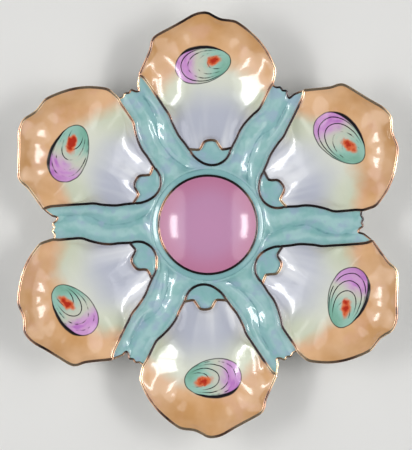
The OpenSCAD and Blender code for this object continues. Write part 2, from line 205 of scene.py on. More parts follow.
@dataclass(frozen=True)
class PlateForm:
    """Sizes of the plate in millimetres, and the heights that follow from them."""

    well_w: float
    well_l: float
    heel_r: float
    heel_rim_h: float
    head_rim_h: float
    sauce_r: float
    sauce_outer_r: float
    sauce_rim_h: float
    sauce_depth: float
    foot_h: float
    foot_r: float
    foot_edge_h: float
    gilt_w: float = 1.4
    gilt_t: float = 0.35
    bowl_from_heel: float = 45.0
    wall: float = 4.4
    rim_t: float = 3.2
    rim_taper: float = 1.1
    sauce_slope_drop: float = 1.7
    ground_t: float = 4.2
    lip_h: float = 0.9
    ground_dip: float = 3.0
    frond_h: float = 1.4
    tooth_sag: float = 1.2
    heel_dip: float = 1.1
    foot_t: float = 3.4
    flat_share: float = 0.2
    head_shares: Pair = (0.56, 0.68)
    under_power: float = 2.4
    right_tilts: tuple[Pair, ...] = (
        (0.0, 0.0), (0.1, 3.0), (0.45, 19.0), (0.53, 24.0), (0.74, 25.0), (0.82, 17.0), (0.93, 13.0),
        (1.0, 22.0),
    )
    left_tilts: tuple[Pair, ...] = (
        (0.0, 0.0), (0.22, 4.0), (0.37, 18.0), (0.49, 29.0), (0.66, 30.0), (0.8, 15.0), (0.92, 10.0),
        (1.0, 18.0),
    )
    head_tilts: tuple[Pair, ...] = (
        (0.0, 0.0), (0.35, 8.0), (0.56, 18.0), (0.75, 27.0), (0.84, 36.0), (0.95, 39.0), (1.0, 38.0),
    )
    heel_tilts: tuple[Pair, ...] = (
        (0.0, 0.0), (0.3, 6.0), (0.6, 16.0), (0.73, 22.0), (0.81, 32.0), (0.93, 38.0), (1.0, 36.0),
    )
    side_spread: Pair = (0.15, 0.6)
    climb_steps: int = 401

    @classmethod
    def from_frame(cls) -> "PlateForm":
        """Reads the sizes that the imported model's boxes show.

        Returns:
            The sizes.
        """
        nodes = ("gilt_rim_1", "sauce_gilt_rim", "sauce_well", "foot_wall")
        rim, gilt, sauce, foot = (np.array(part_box(node)) / MM for node in nodes)
        return cls(
            well_w=rim[1, 0] - rim[0, 0],
            well_l=rim[1, 1] - rim[0, 1],
            heel_r=rim[0, 1],
            heel_rim_h=rim[0, 2],
            head_rim_h=rim[1, 2] - cls.gilt_t,
            sauce_r=gilt[1, 0] - cls.gilt_w / 2,
            sauce_outer_r=sauce[1, 0],
            sauce_rim_h=gilt[0, 2],
            sauce_depth=gilt[0, 2] - sauce[0, 2] - cls.wall,
            foot_h=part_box("well_1")[0][2] / MM,
            foot_r=foot[1, 0] - cls.foot_t / 2,
            foot_edge_h=foot[0, 2],
        )

    @property
    def bowl_centre(self) -> Array:
        """The lowest point of a bowl, for a well at the top of the plate."""
        return np.array([0.0, self.heel_r + self.bowl_from_heel])

    @property
    def skirt_h(self) -> float:
        """Height of the ground where it meets the sauce dish."""
        return self.sauce_rim_h - self.sauce_slope_drop

    def placed(self, shares: Sequence[Pair]) -> Array:
        """Turns shares of a well's width and length into x, y points."""
        table = np.array(shares)
        return np.stack([table[:, 0] * self.well_w, self.heel_r + table[:, 1] * self.well_l], axis=1)

    def up_share(self, points: Array) -> Array:
        """Returns how far up the shell each point lies, from heel to head."""
        return (points[..., 1] - self.heel_r) / self.well_l

    def places(self, points: Array) -> Array:
        """Returns the places of points on the shell's own map."""
        return np.stack([points[..., 0] / self.well_w + 0.5, self.up_share(points)], axis=-1)

    def rim_h(self, points: Array) -> Array:
        """Returns the height of the rim at points of the shell's outline."""
        return mix(self.heel_rim_h, self.head_rim_h, smooth(self.up_share(points)))

    def head_part(self, points: Array) -> Array:
        """Returns 1 where the rim is free of the ground and 0 where it isn't."""
        return eased(self.up_share(points), self.head_shares)

    def under_edge_h(self, points: Array) -> Array:
        """Returns the height of the lower edge of a well's outer wall."""
        return self.rim_h(points) - mix(self.lip_h + self.ground_t, self.rim_t, self.head_part(points))

    def bowl_h(self, points: Array, share: float, top: Array) -> Array:
        """Returns the height of a bowl's inside.

        Args:
            points: Points of the outline that the bowl's slopes run to.
            share: How far out the slope is taken, from 0 to 1.
            top: Height of the slope's end at each point.

        Returns:
            The height at that share of each slope.
        """
        way = points - self.bowl_centre
        up = way[:, 1] / np.linalg.norm(way, axis=1)
        tables = (self.head_tilts, self.heel_tilts, self.right_tilts, self.left_tilts)
        head, heel, right, left = (self.climb(table, share) for table in tables)
        ends, sides = np.where(up > 0, head, heel), np.where(way[:, 0] > 0, right, left)
        return mix(self.foot_h + self.wall, top, mix(sides, ends, eased(abs(up), self.side_spread)))

    def climb(self, tilts: Sequence[Pair], share: float) -> float:
        """Returns how much of a slope's height lies within a share of its length.

        Args:
            tilts: Shares of the slope's length, and its tilt in degrees at each.
            share: How far out the slope is taken.

        Returns:
            The share of its height.
        """
        at = np.linspace(0, 1, self.climb_steps)
        lean = np.tan(np.radians(np.interp(at, *np.transpose(tilts))))
        height = np.concatenate([[0], np.cumsum(lean[1:] + lean[:-1])])
        return float(np.interp(share, at, height / height[-1]))

    def under_h(self, points: Array, share: Array | float) -> Array:
        """Returns the height of a well's underside, share of the way out to points."""
        out = np.maximum(share - self.flat_share, 0) / (1 - self.flat_share)
        return mix(self.foot_h, self.under_edge_h(points), out**self.under_power)


@dataclass
class ShellOutline:
    """Outline of one shell at the top of the plate, with its notched heel line."""

    form: PlateForm
    steps: int = 8
    corner_spread: int = 5
    right_flank: Sequence[Pair] = (
        (0.18, 0.114), (0.217, 0.178), (0.243, 0.23), (0.28, 0.277), (0.333, 0.327),
        (0.383, 0.369), (0.422, 0.436), (0.454, 0.497), (0.478, 0.532),
    )
    head: Sequence[Pair] = (
        (0.49, 0.572), (0.497, 0.62), (0.48, 0.669), (0.435, 0.747), (0.373, 0.82),
        (0.299, 0.882), (0.223, 0.932), (0.178, 0.947), (0.101, 0.956), (0.051, 0.975),
        (0.007, 0.996), (-0.04, 1.0), (-0.109, 0.984), (-0.203, 0.936), (-0.29, 0.894),
        (-0.379, 0.85), (-0.413, 0.814), (-0.428, 0.755), (-0.459, 0.689), (-0.491, 0.627),
    )
    left_flank: Sequence[Pair] = (
        (-0.503, 0.59), (-0.464, 0.556), (-0.403, 0.479), (-0.328, 0.378), (-0.29, 0.327),
        (-0.266, 0.273), (-0.223, 0.198), (-0.181, 0.149), (-0.145, 0.105),
    )
    heel: Sequence[Pair] = (
        (-0.113, 0.064), (-0.069, 0.03), (-0.019, 0.007), (0.036, 0.0), (0.087, 0.01),
        (0.134, 0.037), (0.163, 0.074),
    )
    notch: Sequence[Pair] = (
        (-0.07, 0.101), (-0.044, 0.117), (-0.02, 0.153), (0.02, 0.163), (0.055, 0.156),
        (0.082, 0.122), (0.108, 0.103),
    )
    shell: Array = field(init=False)
    bowl: Array = field(init=False)
    notch_line: Array = field(init=False)

    def __post_init__(self) -> None:
        """Draws the shell's line, the notch's line and the bowl's line, which joins the two."""
        corners = (*self.right_flank, *self.head, *self.left_flank, *self.heel)
        self.shell = self.fitted(through(self.form.placed(corners), self.steps, closed=True))
        ends = self.shell[[self.left_joint, 0]]
        crossing = np.concatenate([ends[:1], self.form.placed(self.notch), ends[1:]])
        self.notch_line = through(crossing, self.steps, closed=False)
        self.bowl = np.concatenate([self.shell[: self.left_joint], self.notch_line[:-1]])

    def fitted(self, line: Array) -> Array:
        """Draws a line in a little, so that its bends stay within the well's box.

        Args:
            line: The line's points.

        Returns:
            The points after that.
        """
        span = line.max(axis=0) - line.min(axis=0)
        line = line * np.minimum(np.array([self.form.well_w, self.form.well_l]) / span, 1)
        return line + [0.0, self.form.heel_r - line[:, 1].min()]

    @property
    def flank_steps(self) -> int:
        """Steps along one flank."""
        return self.steps * (len(self.right_flank) - 1)

    @property
    def left_joint(self) -> int:
        """Index of the point where the left flank meets the heel and the notch."""
        return self.steps * (len(self.right_flank) + len(self.head)) + self.flank_steps

    @property
    def heel_steps(self) -> int:
        """Steps along the heel, and along the notch."""
        return self.steps * (len(self.heel) + 1)

    @property
    def heel_arc(self) -> Array:
        """The round end of the shell, from the left joint to the right one."""
        return np.concatenate([self.shell[self.left_joint:], self.shell[:1]])

    def flank(self, way: int) -> Array:
        """Follows the shell's line from the middle of the heel up one flank.

        Args:
            way: 1 for the right flank and -1 for the left one.

        Returns:
            Indices of its points.
        """
        half = self.heel_steps // 2
        steps = np.arange(half + self.flank_steps + 1)
        return (self.left_joint + half + way * steps) % len(self.shell)


class MeshDraft:
    """Points and faces of one piece in millimetres, gathered before they become a mesh."""

    def __init__(self, name: str, turn: float = 0.0) -> None:
        """Starts an empty draft.

        Args:
            name: Name of the piece.
            turn: Angle in radians about the plate's axis at which the piece is placed.
        """
        self.name = name
        self.turn = turn
        self.points: list[Array] = []
        self.faces: list[Array] = []
        self.paints: list[Array] = []
        self.maps: list[Array] = []
        self.count = 0

    def grid(self, points: Array, maps: Array, paint: int | Array = COLOURED,
             round_way: bool = False, flip: bool = False) -> Array:
        """Adds a grid of faces.

        Args:
            points: Rows by columns by x, y, z.
            maps: Rows by columns by the two values of the piece's own map.
            paint: Index of the material, for all faces or for each row of faces.
            round_way: Whether the last column meets the first.
            flip: Whether the faces look the other way.

        Returns:
            The index of each point, rows by columns.
        """
        rows, cols = points.shape[:2]
        index = self.count + np.arange(rows * cols).reshape(rows, cols)
        self.points.append(points.reshape(-1, 3))
        self.maps.append(maps.reshape(-1, 2))
        self.count += rows * cols
        across = np.concatenate([index, index[:, :1]], axis=1) if round_way else index
        self.quads(across, paint, flip)
        return index

    def quads(self, index: Array, paint: int | Array = COLOURED, flip: bool = False) -> None:
        """Adds faces between points that are already in the draft.

        Args:
            index: Indices of the points, rows by columns.
            paint: Index of the material, for all faces or for each row of faces.
            flip: Whether the faces look the other way.
        """
        corners = [index[:-1, :-1], index[1:, :-1], index[1:, 1:], index[:-1, 1:]]
        if flip:
            corners.reverse()
        faces = np.stack(corners, axis=-1)
        paints = np.broadcast_to(np.reshape(paint, (-1, 1)), faces.shape[:2])
        self.faces.append(faces.reshape(-1, 4))
        self.paints.append(paints.reshape(-1))

    def fan(self, ring: Array, point: Array, at: Array, paint: int,
            flip: bool = False) -> None:
        """Closes a ring of points with triangles to one point.

        Args:
            ring: Indices of the ring's points.
            point: The closing point.
            at: The closing point's place on the piece's own map.
            paint: Index of the material.
            flip: Whether the faces look the other way.
        """
        self.points.append(np.reshape(point, (1, 3)))
        self.maps.append(np.reshape(at, (1, 2)))
        after = np.roll(ring, -1)
        sides = (ring, after) if not flip else (after, ring)
        pole = np.full_like(ring, self.count)
        self.faces.append(np.stack([pole, *sides, np.full_like(ring, -1)], axis=1))
        self.paints.append(np.full(len(ring), paint))
        self.count += 1

    def mesh_object(self, materials: Sequence[Material]) -> Object:
        """Makes the draft into an object at the origin.

        Args:
            materials: The piece's materials, in the order of the paint indices.

        Returns:
            The new object, smooth shaded, with its own map on a UV layer.
        """
        points = turned(np.concatenate(self.points), self.turn) * MM
        faces = [[int(i) for i in face if i >= 0] for face in np.concatenate(self.faces)]
        mesh = bpy.data.meshes.new(self.name)
        mesh.from_pydata(points.tolist(), [], faces)
        mesh.polygons.foreach_set("material_index", np.concatenate(self.paints).astype(np.int32))
        lay_map(mesh, np.concatenate(self.maps))
        for material in materials:
            mesh.materials.append(material)
        mesh.shade_smooth()
        mesh.validate()
        face_outward(mesh)
        mesh.update()
        return put(self.name, mesh)


def put(name: str, data: bpy.types.ID) -> Object:
    """Links a new object to the scene.

    Args:
        name: Its name.
        data: Its mesh, lamp or camera.

    Returns:
        The object.
    """
    made = bpy.data.objects.new(name, data)
    bpy.context.scene.collection.objects.link(made)
    return made


def mesh_points(mesh: Mesh) -> Array:
    """Reads the points of a mesh.

    Args:
        mesh: The mesh.

    Returns:
        The points in millimetres, one per row.
    """
    points = np.empty(len(mesh.vertices) * 3, np.float32)
    mesh.vertices.foreach_get("co", points)
    return points.reshape(-1, 3) / MM


def lay_map(mesh: Mesh, places: Array) -> None:
    """Gives a mesh its own map.

    Args:
        mesh: The mesh.
        places: The two values of each point.
    """
    corners = np.empty(len(mesh.loops), np.int32)
    mesh.loops.foreach_get("vertex_index", corners)
    layer = mesh.uv_layers.new(name="place")
    layer.data.foreach_set("uv", places[corners].astype(np.float32).ravel())


def face_outward(mesh: Mesh) -> None:
    """Turns a closed mesh's faces to look out of it.

    Args:
        mesh: The mesh, whose faces all look out or all look in.
    """
    mesh.calc_loop_triangles()
    corners = np.empty(len(mesh.loop_triangles) * 3, np.int32)
    mesh.loop_triangles.foreach_get("vertices", corners)
    a, b, c = mesh_points(mesh)[corners.reshape(-1, 3)].astype(float).transpose(1, 0, 2)
    if np.einsum("ij,ij->", a, np.cross(b, c)) < 0:
        mesh.flip_normals()


class Graph:
    """A node tree that is written as Python calls."""

    def __init__(self, tree: bpy.types.NodeTree) -> None:
        """Takes over a node tree.

        Args:
            tree: The tree to write in.
        """
        self.tree = tree

    def node(self, kind: str, inputs: dict[str | int, object] | None = None,
             **settings: object) -> bpy.types.Node:
        """Adds a node.

        Args:
            kind: The node's type.
            inputs: Values or links of its sockets, by name, identifier or number.
            settings: Properties of the node, set before its sockets.

        Returns:
            The new node.
        """
        made = self.tree.nodes.new(kind)
        for name, value in settings.items():
            setattr(made, name, value)
        for key, value in (inputs or {}).items():
            self.feed(self.socket(made, key), value)
        return made

    @staticmethod
    def socket(node: bpy.types.Node, key: str | int) -> Socket:
        """Finds an input of a node.

        Args:
            node: The node.
            key: The input's number, identifier or name.

        Returns:
            The input.
        """
        if isinstance(key, int):
            return node.inputs[key]
        for candidate in node.inputs:
            if candidate.identifier == key:
                return candidate
        return node.inputs[key]

    def feed(self, target: Socket, value: object) -> None:
        """Links something to an input, or sets the input's value.

        Args:
            target: The input.
            value: A socket or a wire to link, or a value to set.
        """
        if isinstance(value, Wire):
            self.tree.links.new(value.source, target)
        elif isinstance(value, Socket):
            self.tree.links.new(value, target)
        elif isinstance(value, tuple) and len(value) == 3 and target.type == "RGBA":
            target.default_value = (*value, 1.0)
        else:
            target.default_value = value


def math_node(operation: str, first: bool = True) -> Callable[..., "Wire"]:
    """Makes a method of a wire that adds a Math node.

    Args:
        operation: The node's operation.
        first: Whether the wire is the node's first number.

    Returns:
        The method.
    """

    def method(self: "Wire", *others: "Wire | float") -> "Wire":
        """Adds the node to the wire's graph.

        Args:
            others: The node's other numbers.

        Returns:
            Its result.
        """
        values = [self, *others] if first else [*others, self]
        made = self.graph.node("ShaderNodeMath", dict(enumerate(values)), operation=operation)
        return Wire(self.graph, made.outputs[0])

    return method


class Wire:
    """A number on its way through a tree. Python's operators add its Math nodes."""

    __add__ = __radd__ = math_node("ADD")
    __sub__ = math_node("SUBTRACT")
    __rsub__ = math_node("SUBTRACT", first=False)
    __mul__ = math_node("MULTIPLY")
    __truediv__ = math_node("DIVIDE")
    __rtruediv__ = math_node("DIVIDE", first=False)
    __pow__ = math_node("POWER")
    __abs__ = math_node("ABSOLUTE")
    least = math_node("MINIMUM")
    most = math_node("MAXIMUM")
    sign = math_node("SIGN")

    def __init__(self, graph: Graph, source: Socket) -> None:
        """Wraps an output socket of a graph."""
        self.graph = graph
        self.source = source

    def held(self) -> "Wire":
        """Holds the number between 0 and 1."""
        return self.most(0.0).least(1.0)

    def fall(self, start: float, end: float) -> "Wire":
        """Eases from 1 at start to 0 at end."""
        return 1.0 - self.rise(start, end)

    def rise(self, start: float, end: float) -> "Wire":
        """Eases from 0 to 1.

        Args:
            start: Where it leaves 0.
            end: Where it reaches 1.

        Returns:
            The eased number.
        """
        made = self.graph.node(
            "ShaderNodeMapRange",
            {"Value": self, "From Min": start, "From Max": end, "To Min": 0.0, "To Max": 1.0},
            interpolation_type="SMOOTHSTEP",
        )
        return Wire(self.graph, made.outputs[0])


class Shader(Graph):
    """The node tree of one material."""

    def __init__(self, name: str) -> None:
        """Makes an empty material.

        Args:
            name: Its name.
        """
        self.material = bpy.data.materials.new(name)
        self.material.use_nodes = True
        super().__init__(self.material.node_tree)
        self.tree.nodes.clear()

    def place(self) -> tuple[Wire, Wire]:
        """Reads the piece's own map.

        Returns:
            Its two values.
        """
        source = self.node("ShaderNodeUVMap", uv_map="place").outputs[0]
        parts = self.node("ShaderNodeSeparateXYZ", {0: source})
        return Wire(self, parts.outputs[0]), Wire(self, parts.outputs[1])

    def spot(self) -> Socket:
        """Returns the place on the object in metres."""
        return self.node("ShaderNodeTexCoord").outputs["Object"]

    def noise(self, size: float, detail: float = 2.0, seed: float = 0.0,
              at: Socket | None = None) -> Wire:
        """Adds a noise that reads the place on the object.

        Args:
            size: Width of its patches in metres.
            detail: Finer layers in it.
            seed: Number that makes one noise unlike another.
            at: Where it is read, if not at the place on the object.

        Returns:
            Its value from 0 to 1.
        """
        made = self.node(
            "ShaderNodeTexNoise",
            {"Vector": at or self.spot(), "Scale": 1 / size, "Detail": detail, "W": seed},
            noise_dimensions="4D",
        )
        return Wire(self, made.outputs[0])

    def blend(self, share: Wire | float, first: object, second: object) -> Socket:
        """Mixes two colours.

        Args:
            share: How much of the second colour there is.
            first: A colour or a socket.
            second: A colour or a socket.

        Returns:
            The mixed colour.
        """
        made = self.node(
            "ShaderNodeMix",
            {"Factor_Float": share, "A_Color": first, "B_Color": second},
            data_type="RGBA",
        )
        return next(s for s in made.outputs if s.identifier == "Result_Color")

    def bump(self, height: Wire, depth: float) -> Socket:
        """Turns a height from 0 to 1 into a normal.

        Args:
            height: The height over the surface.
            depth: Metres that a height of 1 stands for.

        Returns:
            The normal.
        """
        made = self.node("ShaderNodeBump", {"Strength": 1.0, "Distance": depth, "Height": height})
        return made.outputs[0]

    def surface(self, **inputs: object) -> Material:
        """Ends the tree in a Principled surface.

        Args:
            inputs: Its sockets, with underscores for the spaces in their names.

        Returns:
            The finished material.
        """
        named = {key.replace("_", " "): value for key, value in inputs.items()}
        made = self.node("ShaderNodeBsdfPrincipled", named)
        self.node("ShaderNodeOutputMaterial", {"Surface": made.outputs[0]})
        return self.material


@dataclass(frozen=True)
class Glaze:
    """How every glaze on the plate shines."""

    roughness: float = 0.3
    under_shine: float = 0.1
    coat: float = 1.0
    coat_roughness: float = 0.13
    coat_ior: float = 1.6
    ripple_size: float = 0.011
    ripple_depth: float = 0.00003

    def finish(self, shader: Shader, colour: Socket) -> Material:
        """Ends a shader as a glazed surface.

        Args:
            shader: The shader that holds the colour.
            colour: The colour under the glaze.

        Returns:
            The finished material.
        """
        ripple = shader.noise(self.ripple_size, detail=1.0, seed=4.0)
        return shader.surface(
            Base_Color=colour,
            Roughness=self.roughness,
            Specular_IOR_Level=self.under_shine,
            Coat_Weight=self.coat,
            Coat_Roughness=self.coat_roughness,
            Coat_IOR=self.coat_ior,
            Normal=shader.bump(ripple, self.ripple_depth),
        )


@dataclass(frozen=True)
class BrushedShell:
    """Where the small painted shell lies in one bowl, and its half length, half height and lean."""

    across: float
    up: float
    half_length: float
    half_height: float
    lean: float


@dataclass(frozen=True)
class ShellPainting:
    """Airbrushed shell colours, with a small painted shell lying in the bowl.

    Lengths are millimetres on the shell: across it from its middle, and up it from its heel.
    """

    form: PlateForm
    number: int
    glaze: Glaze = Glaze()
    peach: Colour = linear(236, 190, 145)
    deep_peach: Colour = linear(216, 163, 106)
    blush: Colour = linear(236, 184, 158)
    cream: Colour = linear(226, 229, 214)
    leaf: Colour = linear(212, 220, 190)
    lavender: Colour = linear(192, 196, 210)
    pearl: Colour = linear(236, 238, 242)
    lilac: Colour = linear(216, 158, 220)
    orchid: Colour = linear(184, 108, 200)
    sage: Colour = linear(152, 202, 188)
    moss: Colour = linear(110, 172, 150)
    stone: Colour = linear(206, 210, 194)
    ink: Colour = linear(18, 14, 22)
    red: Colour = linear(184, 44, 20)
    orange: Colour = linear(228, 116, 70)
    peach_top: float = 58.3
    peach_bend: float = 0.0181
    peach_middle: float = 2.8
    peach_stray: float = 16.0
    peach_fade: Pair = (-7.5, 6.5)
    deep_from: float = 62.0
    side_middle: float = 2.0
    side_fade: Pair = (6.0, 27.0)
    lavender_stray: float = 6.0
    lavender_side: float = 13.0
    lavender_fade: Pair = (28.0, 52.0)
    pearl_fade: Pair = (4.0, 22.0)
    fold_sheen_fade: Pair = (14.0, 50.0)
    blush_fades: tuple[Pair, Pair] = ((-2.0, 3.0), (3.0, 11.0))
    blush_patches: Pair = (0.02, 0.18)
    motifs: tuple[BrushedShell, ...] = (
        BrushedShell(-2.6, 56.7, 15.5, 9.8, 11.0),
        BrushedShell(-4.6, 55.3, 17.0, 10.7, 14.0),
        BrushedShell(-3.8, 55.1, 17.2, 10.5, 13.0),
        BrushedShell(-2.8, 53.0, 15.8, 10.4, 7.0),
        BrushedShell(-3.6, 55.6, 16.1, 10.0, 9.0),
        BrushedShell(-4.0, 54.1, 16.5, 10.1, 9.0),
    )
    egg: float = 0.14
    shake: Pair = (0.06, 0.08)
    wash_edge: Pair = (0.98, 1.02)
    sage_fade: Pair = (-0.2, 0.5)
    moss_out: Pair = (0.0, 0.4)
    moss_right: Pair = (0.0, 0.6)
    moss_up: Pair = (-0.3, 0.5)
    lilac_fade: Pair = (-0.62, -0.14)
    orchid_strokes: Pair = (0.42, 0.64)
    orchid_up: Pair = (-0.3, 0.6)
    heavy_fade: Pair = (0.15, 0.9)
    dab: Pair = (0.36, 0.11)
    dab_size: Pair = (0.34, 0.31)
    dab_edge: Pair = (0.62, 1.12)
    orange_fade: Pair = (0.25, 0.8)
    ring_shares: tuple[float, ...] = (0.9, 0.77, 0.6, 0.4)
    ring_shift: float = 0.94
    ring_fade: Pair = (-0.25, 0.6)
    ring_breaks: Pair = (0.33, 0.55)
    line_w: float = 0.4
    heavy_line_w: float = 0.85

    def jitter(self, seed: int, amount: float) -> float:
        """Returns a small hand-made difference that is the same on every run."""
        return amount * math.sin(12.9898 * (self.number + 1) + 78.233 * seed)

    def build(self) -> Material:
        """Paints one shell's inside.

        Returns:
            The material.
        """
        shader = Shader(f"shell_painting_{self.number}")
        u, v = shader.place()
        across = (u - 0.5) * self.form.well_w
        up = v * self.form.well_l
        colour = self.grounds(shader, across, up)
        colour = self.painted_shell(shader, across, up, colour)
        return self.glaze.finish(shader, colour)

    def grounds(self, shader: Shader, across: Wire, up: Wire) -> Socket:
        """Lays the airbrushed grounds, with painted sheen and shade of folds near the heel.

        Args:
            shader: The shader to write in.
            across: Place across the shell.
            up: Place up the shell.

        Returns:
            The colour of the grounds.
        """
        cloud = shader.noise(0.015, detail=3.0, seed=self.number + 0.3) - 0.5
        broad = shader.noise(0.02, detail=3.0, seed=self.number + 7.1) - 0.5
        off = across - self.peach_middle
        over = up - (self.peach_top - off * off * self.peach_bend + cloud * self.peach_stray)
        side = abs(across - self.side_middle).rise(*self.side_fade)
        drift = up + cloud * self.lavender_stray + side * self.lavender_side
        pale = shader.blend(side * (0.65 + broad), self.cream, self.leaf)
        low = up.fall(*self.pearl_fade) * (0.45 + broad * 2.0)
        # Painted sheen and shade: paler and darker streaks fanning from the heel
        low = low + self.painted_fold_sheen(shader, across, up) * up.fall(*self.fold_sheen_fade)
        cool = shader.blend(low.held(), self.lavender, self.pearl)
        rich = 0.38 + broad * 3.6 + (up - self.deep_from) * 0.012
        warm = shader.blend(rich.held(), self.peach, self.deep_peach)
        near, far = self.blush_fades
        skirt = over.rise(*near) * over.fall(*far) * side * 0.5
        pink = (skirt * (0.5 + broad * 2.0).most(0.0)).most(cloud.rise(*self.blush_patches) * 0.4)
        warm = shader.blend(pink, warm, self.blush)
        cold = shader.blend(drift.fall(*self.lavender_fade), pale, cool)
        return shader.blend(over.rise(*self.peach_fade), cold, warm)

    def painted_fold_sheen(self, shader: Shader, across: Wire, up: Wire) -> Wire:
        """Paints the sheen and shade of soft folds that fan out from the heel, as paler and darker streaks.

        Args:
            shader: The shader to write in.
            across: Place across the shell.
            up: Place up the shell.

        Returns:
            How pale each place is.
        """
        fan = across / (up + 16.0)
        way = shader.node("ShaderNodeCombineXYZ", {0: fan, 1: up * 0.002, 2: 0.0})
        return (shader.noise(0.24, detail=2.0, seed=self.number + 3.6, at=way.outputs[0]) - 0.46) * 4.2

    def painted_shell(self, shader: Shader, across: Wire, up: Wire,
                      under: Socket) -> Socket:
        """Paints the small shell: washes, growth rings, outline and a dab of red.

        Args:
            shader: The shader to write in.
            across: Place across the shell.
            up: Place up the shell.
            under: The colour that the painting lies on.

        Returns:
            The colour with the painting on it.
        """
        motif = self.motifs[self.number - 1]
        lean = math.radians(motif.lean)
        dx, dy = across - motif.across, up - motif.up
        shake = shader.noise(0.007, seed=self.number + 2.0) - 0.5
        x = (dx * math.cos(lean) + dy * math.sin(lean)) / motif.half_length + shake * self.shake[0]
        y = (dy * math.cos(lean) - dx * math.sin(lean)) / motif.half_height + shake * self.shake[1]
        y = y * (1.0 + x * self.egg)
        reach = (x * x + y * y) ** 0.5
        inside = reach.fall(*self.wash_edge)
        streak = shader.noise(0.0035, detail=3.0, seed=self.number + 5.0)
        strokes = self.strokes(shader, x, y)
        wash = shader.blend((x + (strokes - 0.5) * 0.8).rise(*self.sage_fade), self.stone, self.sage)
        green = (reach - 0.4).rise(*self.moss_out) * x.rise(*self.moss_right) * y.fall(*self.moss_up)
        wash = shader.blend((green * strokes * 1.4).least(1.0), wash, self.moss)
        lilac = (x + shake * 0.3 - y * 0.1).fall(*self.lilac_fade) * (0.6 + strokes * 0.8)
        wash = shader.blend(lilac.least(1.0), wash, self.lilac)
        upper = 0.25 + y.rise(*self.orchid_up) * 0.6
        bright = strokes.rise(*self.orchid_strokes) * upper * lilac.least(1.0)
        wash = shader.blend(bright, wash, self.orchid)
        colour = shader.blend(inside * 0.95, under, wash)
        heavy = (y - abs(x - self.jitter(3, 0.35)) * 0.5).rise(*self.heavy_fade)
        outline = self.line(self.off_line(x, y, 1.0, motif), self.line_w + heavy * self.heavy_line_w)
        outline = outline * (0.5 + streak * 0.6 + heavy * 0.9).least(1.0)
        ink = (self.rings(x, y, streak, motif) * inside).most(outline)
        return self.red_dab(shader, x, y, streak, shader.blend(ink.least(1.0), colour, self.ink))

    @staticmethod
    def line(off: Wire, width: Wire | float) -> Wire:
        """Draws a soft-edged line of a width in millimetres where off is its distance."""
        return (off / width).fall(0.45, 1.0)

    def strokes(self, shader: Shader, x: Wire, y: Wire) -> Wire:
        """Makes the marks of a brush that was drawn round the red dab.

        Args:
            shader: The shader to write in.
            x: Place along the painted shell.
            y: Place across it.

        Returns:
            The strength of the brush marks.
        """
        bow = x - self.dab[0]
        way = shader.node("ShaderNodeCombineXYZ", {0: (bow * bow + y * y) ** 0.5, 1: x * 0.3, 2: y * 0.3})
        return shader.noise(0.16, detail=3.0, seed=self.number + 9.0, at=way.outputs[0])

    def off_line(self, x: Wire, y: Wire, share: float, motif: BrushedShell) -> Wire:
        """Returns how many millimetres a place lies off a ring of the painted shell.

        Args:
            x: Place along the painted shell from the ring's middle.
            y: Place across it.
            share: The ring's size as a share of the shell's.
            motif: The painted shell.

        Returns:
            The distance.
        """
        reach = (x * x + y * y) ** 0.5
        along, across = x / motif.half_length, y / motif.half_height
        steep = (along * along + across * across) ** 0.5
        return abs(reach - share) * reach / steep

    def rings(self, x: Wire, y: Wire, streak: Wire, motif: BrushedShell) -> Wire:
        """Draws the growth rings, which crowd together at the shell's right end.

        Args:
            x: Place along the painted shell, 1 at its right end.
            y: Place across the painted shell.
            streak: Noise that breaks the brush lines.
            motif: The painted shell.

        Returns:
            How dark the lines are.
        """
        dark: Wire | None = None
        for k, share in enumerate(self.ring_shares):
            bow = x - (1.0 - share) * self.ring_shift
            faded = (bow / share + y * (0.35 - 0.5 * (k % 2))).fall(*self.ring_fade)
            broken = (streak + 0.12 * math.sin(5.0 * k + self.number)).rise(*self.ring_breaks)
            line = (self.off_line(bow, y, share, motif) / (self.line_w * 0.95)).fall(0.4, 1.0)
            line = line * faded * broken
            dark = line if dark is None else dark.most(line)
        return dark

    def red_dab(self, shader: Shader, x: Wire, y: Wire, streak: Wire,
                under: Socket) -> Socket:
        """Adds the brush dab of red in the painted shell.

        Args:
            shader: The shader to write in.
            x: Place along the painted shell.
            y: Place across the painted shell.
            streak: Noise that makes the brush marks.
            under: The colour that the dab lies on.

        Returns:
            The colour with the dab on it.
        """
        width = self.dab_size[0] * (1.0 + self.jitter(6, 0.12))
        dx = (x - (self.dab[0] + self.jitter(5, 0.03))) / width
        dy = (y - self.dab[1]) / self.dab_size[1] - dx * 0.2
        reach = (dx * dx + dy * dy) ** 0.5 + (streak - 0.5) * 1.1
        tone = shader.blend((reach + (streak - 0.5) * 1.2).rise(*self.orange_fade), self.red, self.orange)
        return shader.blend(reach.fall(*self.dab_edge), under, tone)


